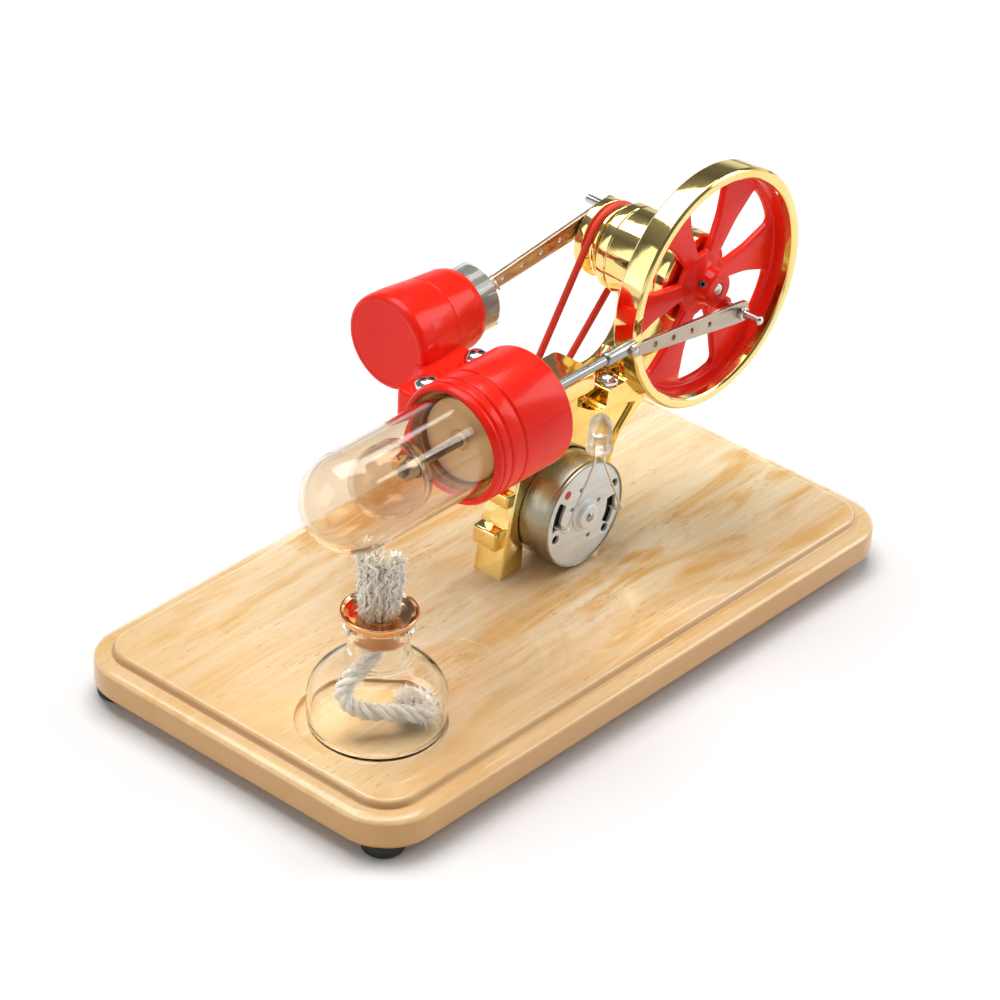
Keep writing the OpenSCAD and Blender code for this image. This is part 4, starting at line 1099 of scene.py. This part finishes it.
def small_pulley():
    """Pulley on the motor's spindle."""
    y0, y1 = span("motor_pulley", "y")
    mid = middle("drive_belt").y
    profile = [(y0, 1.0), (y0, 3.2, 0.2), (mid - 1.4, 3.6, 0.2), (mid - 0.95, 1.9, 0.2), (mid, 1.62, 0.3),
               (mid + 0.95, 1.9, 0.2), (mid + 1.4, 3.6, 0.2), (y1, 3.2, 0.2), (y1, 1.0)]
    fit(lathe("small_pulley", profile, *MOTOR_LINE, GOLD, 96), "rotor", "polished_brass", "motor_pulley")
    y0, y1 = span("motor_shaft", "y")
    obj = lathe("motor_spindle", [(y0, 0), (y0, 0.8), (y0 + 0.2, 1.0), (y1 - 0.3, 1.0, 0.1), (y1, 0.75),
                                  (y1, 0)], *MOTOR_LINE, ROD_STEEL, 48)
    fit(obj, "rotor", "steel", "motor_shaft")


motor_parts()
terminals()
lamp()
small_pulley()


# ---------- burner ----------

def bottle():
    """Thick glass bottle with a ringed neck."""
    low, high = span("burner_bottle", "x")
    r = (high - low) / 2
    body = [(1.4, r - 0.3), (3.2, r - 0.05), (6, r), (8.6, r - 0.1), (10.8, r - 0.8), (12.9, r - 2.25),
            (14.7, r - 4.3), (16.0, 8.0), (16.8, 7.0)]
    inside = [(18.6, 4.85), (17.4, 5.3), (16.2, 6.9), (14.4, r - 4.7), (12.5, r - 2.7), (10.5, r - 1.4),
              (8.5, r - 0.8), (6, r - 0.7), (3.2, r - 0.75), (1.9, r - 1.1)]
    outer = [(0.06, 0), (0.06, r - 2.2, 0.6), (0.4, r - 1.2, 0.6)] + smooth_path(body, 6)
    outer += [(17.2, 7.15, 0.2), (17.6, 6.75, 0.2), (18.0, 6.9, 0.2), (18.5, 6.3, 0.4), (22.4, 6.2, 0.8),
              (23.2, 6.9, 0.5), (24.3, 7.2, 0.6), (25.2, 6.9, 0.4), (25.6, 6.1, 0.2)]
    inner = [(25.6, 5.0, 0.2), (25.2, 4.85, 0.2)] + smooth_path(inside, 6)
    inner += [(1.0, r - 2.0, 0.8), (0.75, r - 3.2, 0.6), (0.8, 0)]
    obj = lathe("bottle", outer + inner, *BURNER_LINE, BOTTLE_GLASS, 160)
    obj.visible_shadow = False
    fit(obj, "burner", "clear_glass", "burner_bottle")


def collar():
    """Dished copper collar and the stopper inside it."""
    profile = [(25.6, 2.5), (25.6, 6.0, 0.3), (25.95, 7.1, 0.5), (27.0, 7.75, 0.6), (27.9, 8.0, 0.25),
               (28.3, 7.95, 0.2), (28.35, 7.6, 0.2), (27.7, 7.2, 0.5), (27.0, 6.2, 0.8), (26.5, 4.4, 0.8),
               (26.2, 2.5)]
    fit(lathe("collar", profile, *BURNER_LINE, COPPER, 128), "burner", "copper_collar", "burner_collar")
    profile = [(21.5, 2.5), (21.5, 4.3, 0.3), (22, 4.55, 0.3), (25.5, 4.78), (26.1, 4.3, 0.4), (26.45, 2.5)]
    fit(lathe("stopper", profile, *BURNER_LINE, ORANGE, 96), "burner", "seal_rubber", "burner_stopper")


def rope(bm, path, spread, radius, twist, start):
    """Six lumpy strands laid round a path in mm, every third one near its middle."""
    strands = 6
    n = len(path)
    for s in range(strands):
        phase = TAU * s / strands + start + rng.uniform(-0.3, 0.3)
        reach = spread * (0.45 if s % 3 == 0 else 1.0)
        wob = rng.uniform(0, 50)
        line = []
        up = None
        for i, p in enumerate(path):
            d = (path[min(i + 1, n - 1)] - path[max(i - 1, 0)]).normalized()
            up = d.orthogonal().normalized() if up is None else (up - d * up.dot(d)).normalized()
            side = d.cross(up)
            t = i / (n - 1)
            a = phase + twist * t
            jitter = Vector((noise.noise((t * 5, wob, 0)), noise.noise((t * 5, wob, 9)), 0)) * 0.35
            line.append(p + (up * math.cos(a) + side * math.sin(a)) * reach + jitter)

        def lumps(q):
            return 0.22 * radius * (noise.noise(q * 1.3 + Vector((wob, 0, 0))) + 0.7 * noise.noise(q * 3.1))

        def taper(i, m):
            return 0.55 + 0.45 * min(1.0, 6 * (1 - i / m)) * min(1.0, 0.4 + 6 * i / m)
        add_tube(bm, line, radius, 9, taper=taper, bump=lumps)


def hairs(bm, path, count, reach, length, radius):
    """Loose fibres that stand off a rope."""
    for _ in range(count):
        i = rng.randrange(2, len(path) - 2)
        d = (path[i + 1] - path[i - 1]).normalized()
        out = Vector((rng.uniform(-1, 1), rng.uniform(-1, 1), rng.uniform(-1, 1)))
        out = (out - d * out.dot(d)).normalized()
        p = path[i] + out * reach * rng.uniform(0.75, 1.0)
        lie = (d * rng.uniform(-0.4, 1.0) + out * rng.uniform(0.1, 0.5)).normalized()
        end = p + lie * length * rng.uniform(0.4, 1.0)
        mid = (p + end) / 2 + out * rng.uniform(-0.2, 0.3)
        add_tube(bm, smooth_path([p, mid, end], 4), radius, 3, taper=lambda i, m: 1 - 0.6 * i / m)


def fluff(bm, path, count, spread, radius, curl):
    """Loose curly strands laid along an upright path, ending at different heights."""
    for _ in range(count):
        turn, reach = rng.uniform(0, TAU), spread * math.sqrt(rng.uniform(0.2, 1.0))
        seed = Vector((rng.uniform(0, 90), rng.uniform(0, 90), 0))
        line = []
        for i in range(int(len(path) * rng.uniform(0.78, 1.0))):
            t = i / (len(path) - 1)
            wave = noise.noise_vector(seed + Vector((0, 0, 17 * t))) * curl * (0.6 + 0.6 * t)
            out = reach * (0.45 + 0.55 * min(1.0, 2.2 * t))
            x, y = math.cos(turn + t) * out, math.sin(turn + t) * out
            line.append(path[i] + Vector((x + wave.x, y + wave.y, wave.z)))
        add_tube(bm, line, radius, 5, taper=lambda i, m: 1 - 0.5 * (i / m) ** 4)


def wick():
    """Two fluffy ropes of cotton side by side, frayed at the top, and the tail lying in the bottle."""
    base = Vector((burner.x, burner.y, burner_z))
    bm = bmesh.new()
    left = [(-0.7, 0.8, 21), (-0.7, 0.9, 26), (-1.0, 1.2, 30), (-1.2, 1.5, 37), (-1.5, 1.7, 43.0)]
    right = [(0.7, -0.8, 21), (0.8, -1.0, 26), (1.2, -1.5, 30), (1.7, -2.0, 36), (1.8, -2.2, 41.8)]
    for pts, turn, wide, count in ((left, 0.4, 2.5, 95), (right, 2.0, 1.8, 60)):
        path = smooth_path([base + Vector(p) for p in pts], 12)
        rope(bm, path, wide * 0.45, 0.6, 1.2, turn)
        fluff(bm, path, count, wide, 0.36, 1.3)
        hairs(bm, path[12:], 600, wide + 0.3, 1.5, 0.06)
    fit(from_bmesh("wick", bm, COTTON, 80), "burner", "wick_cotton", "burner_wick")
    bm = bmesh.new()
    pts = [(0, 0, 21.2), (-1.2, 0.8, 17), (-4.6, 2.8, 12.6), (-6.6, 3.2, 9.0), (-5.2, 0.8, 6.2),
           (-1.8, -2.4, 5.2), (2.2, -5.4, 4.4), (5.8, -7.6, 3.7), (8.6, -6.2, 3.3), (8.4, -2.4, 3.6),
           (5.2, -2.6, 4.0), (4.8, -5.8, 5.4)]
    path = smooth_path([base + Vector(p) for p in pts], 12)
    rope(bm, path, 1.15, 0.66, 34, 1)
    hairs(bm, path, 1100, 1.6, 1.5, 0.09)
    hairs(bm, path[80:], 700, 1.9, 2.4, 0.09)
    fit(from_bmesh("coil", bm, COTTON, 80), "burner", "wick_cotton", "wick_coil")


bottle()
collar()
wick()


# ---------- CAD nodes that stay as they are ----------

kept = {"base_screws": CHROME, "ball_bearings": PIN_STEEL, "tube_seals": ORANGE,
        "flywheel_grub_screw": BLACK_STEEL, "motor_magnets": MAGNET, "motor_rotor": WINDING}
for node, material in kept.items():
    mesh = frame["nodes"][node].data
    mesh.materials.clear()
    mesh.materials.append(material)


# ---------- floor, lights and camera ----------

def stage():
    """Wide pale floor under the feet."""
    bm = bmesh.new()
    size = 6
    bm.faces.new([bm.verts.new((x * size, y * size, 0)) for x, y in ((-1, -1), (1, -1), (1, 1), (-1, 1))])
    mesh = bpy.data.meshes.new("floor")
    bm.to_mesh(mesh)
    bm.free()
    floor = bpy.data.objects.new("floor", mesh)
    bpy.context.scene.collection.objects.link(floor)
    mesh.materials.append(Shader("pale_floor", (0.9, 0.9, 0.9), 0.85, Specular_IOR_Level=0.1).material)


def softbox(name, at, aim, width, height, power):
    """Rectangular lamp at a point in metres, facing another."""
    light = bpy.data.lights.new(name, "AREA")
    light.shape = "RECTANGLE"
    light.size, light.size_y, light.energy = width, height, power
    obj = bpy.data.objects.new(name, light)
    at, aim = Vector(at), Vector(aim)
    obj.matrix_world = Matrix.Translation(at) @ (at - aim).to_track_quat("Z", "Y").to_matrix().to_4x4()
    bpy.context.scene.collection.objects.link(obj)


def lights():
    """Three softboxes and a grey sky that is bright near the horizon."""
    centre = (0, 0, 0.04)
    softbox("overhead", (0.12, 0.25, 0.9), centre, 0.9, 0.6, 8.5)
    softbox("left", (-0.8, 0.35, 0.45), centre, 0.5, 0.6, 1.4)
    softbox("right", (0.75, -0.45, 0.5), centre, 0.4, 0.6, 3.2)
    world = bpy.data.worlds.new("studio")
    bpy.context.scene.world = world
    world.use_nodes = True
    tree = world.node_tree
    sky = tree.nodes["Background"]
    coords = tree.nodes.new("ShaderNodeTexCoord").outputs["Generated"]
    split = tree.nodes.new("ShaderNodeSeparateXYZ")
    tree.links.new(coords, split.inputs[0])
    ramp = tree.nodes.new("ShaderNodeValToRGB")
    tree.links.new(split.outputs["Z"], ramp.inputs["Fac"])
    stops = ramp.color_ramp.elements
    stops[0].position, stops[0].color = 0.0, (0.95, 0.95, 0.95, 1)
    stops[1].position, stops[1].color = 1.0, (0.42, 0.42, 0.43, 1)
    for position, value in ((0.12, 0.85), (0.30, 0.18), (0.6, 0.12)):
        stop = stops.new(position)
        stop.color = (value, value, value, 1)
    tree.links.new(ramp.outputs[0], sky.inputs["Color"])
    sky.inputs["Strength"].default_value = 1.0


def camera():
    """A long lens, looking down from the burner's end and the near side, slightly rolled."""
    azimuth, elevation, roll = math.radians(-49.61), math.radians(32.82), math.radians(2.60)
    distance, lens = 0.9245, 159.2
    target = Vector((-0.6, -1.0, 31.4)) * MM
    back = Vector((math.sin(azimuth) * math.cos(elevation), -math.cos(azimuth) * math.cos(elevation),
                   math.sin(elevation)))
    right = Vector((math.cos(azimuth), math.sin(azimuth), 0))
    up = back.cross(right)
    across = right * math.cos(roll) + up * math.sin(roll)
    upright = up * math.cos(roll) - right * math.sin(roll)
    data = bpy.data.cameras.new("camera")
    data.lens, data.sensor_width = lens, 36
    obj = bpy.data.objects.new("camera", data)
    obj.matrix_world = (Matrix.Translation(target + back * distance)
                        @ Matrix((across, upright, back)).transposed().to_4x4())
    bpy.context.scene.collection.objects.link(obj)
    bpy.context.scene.camera = obj


stage()
lights()
camera()
bpy.context.scene.view_settings.view_transform = "Standard"
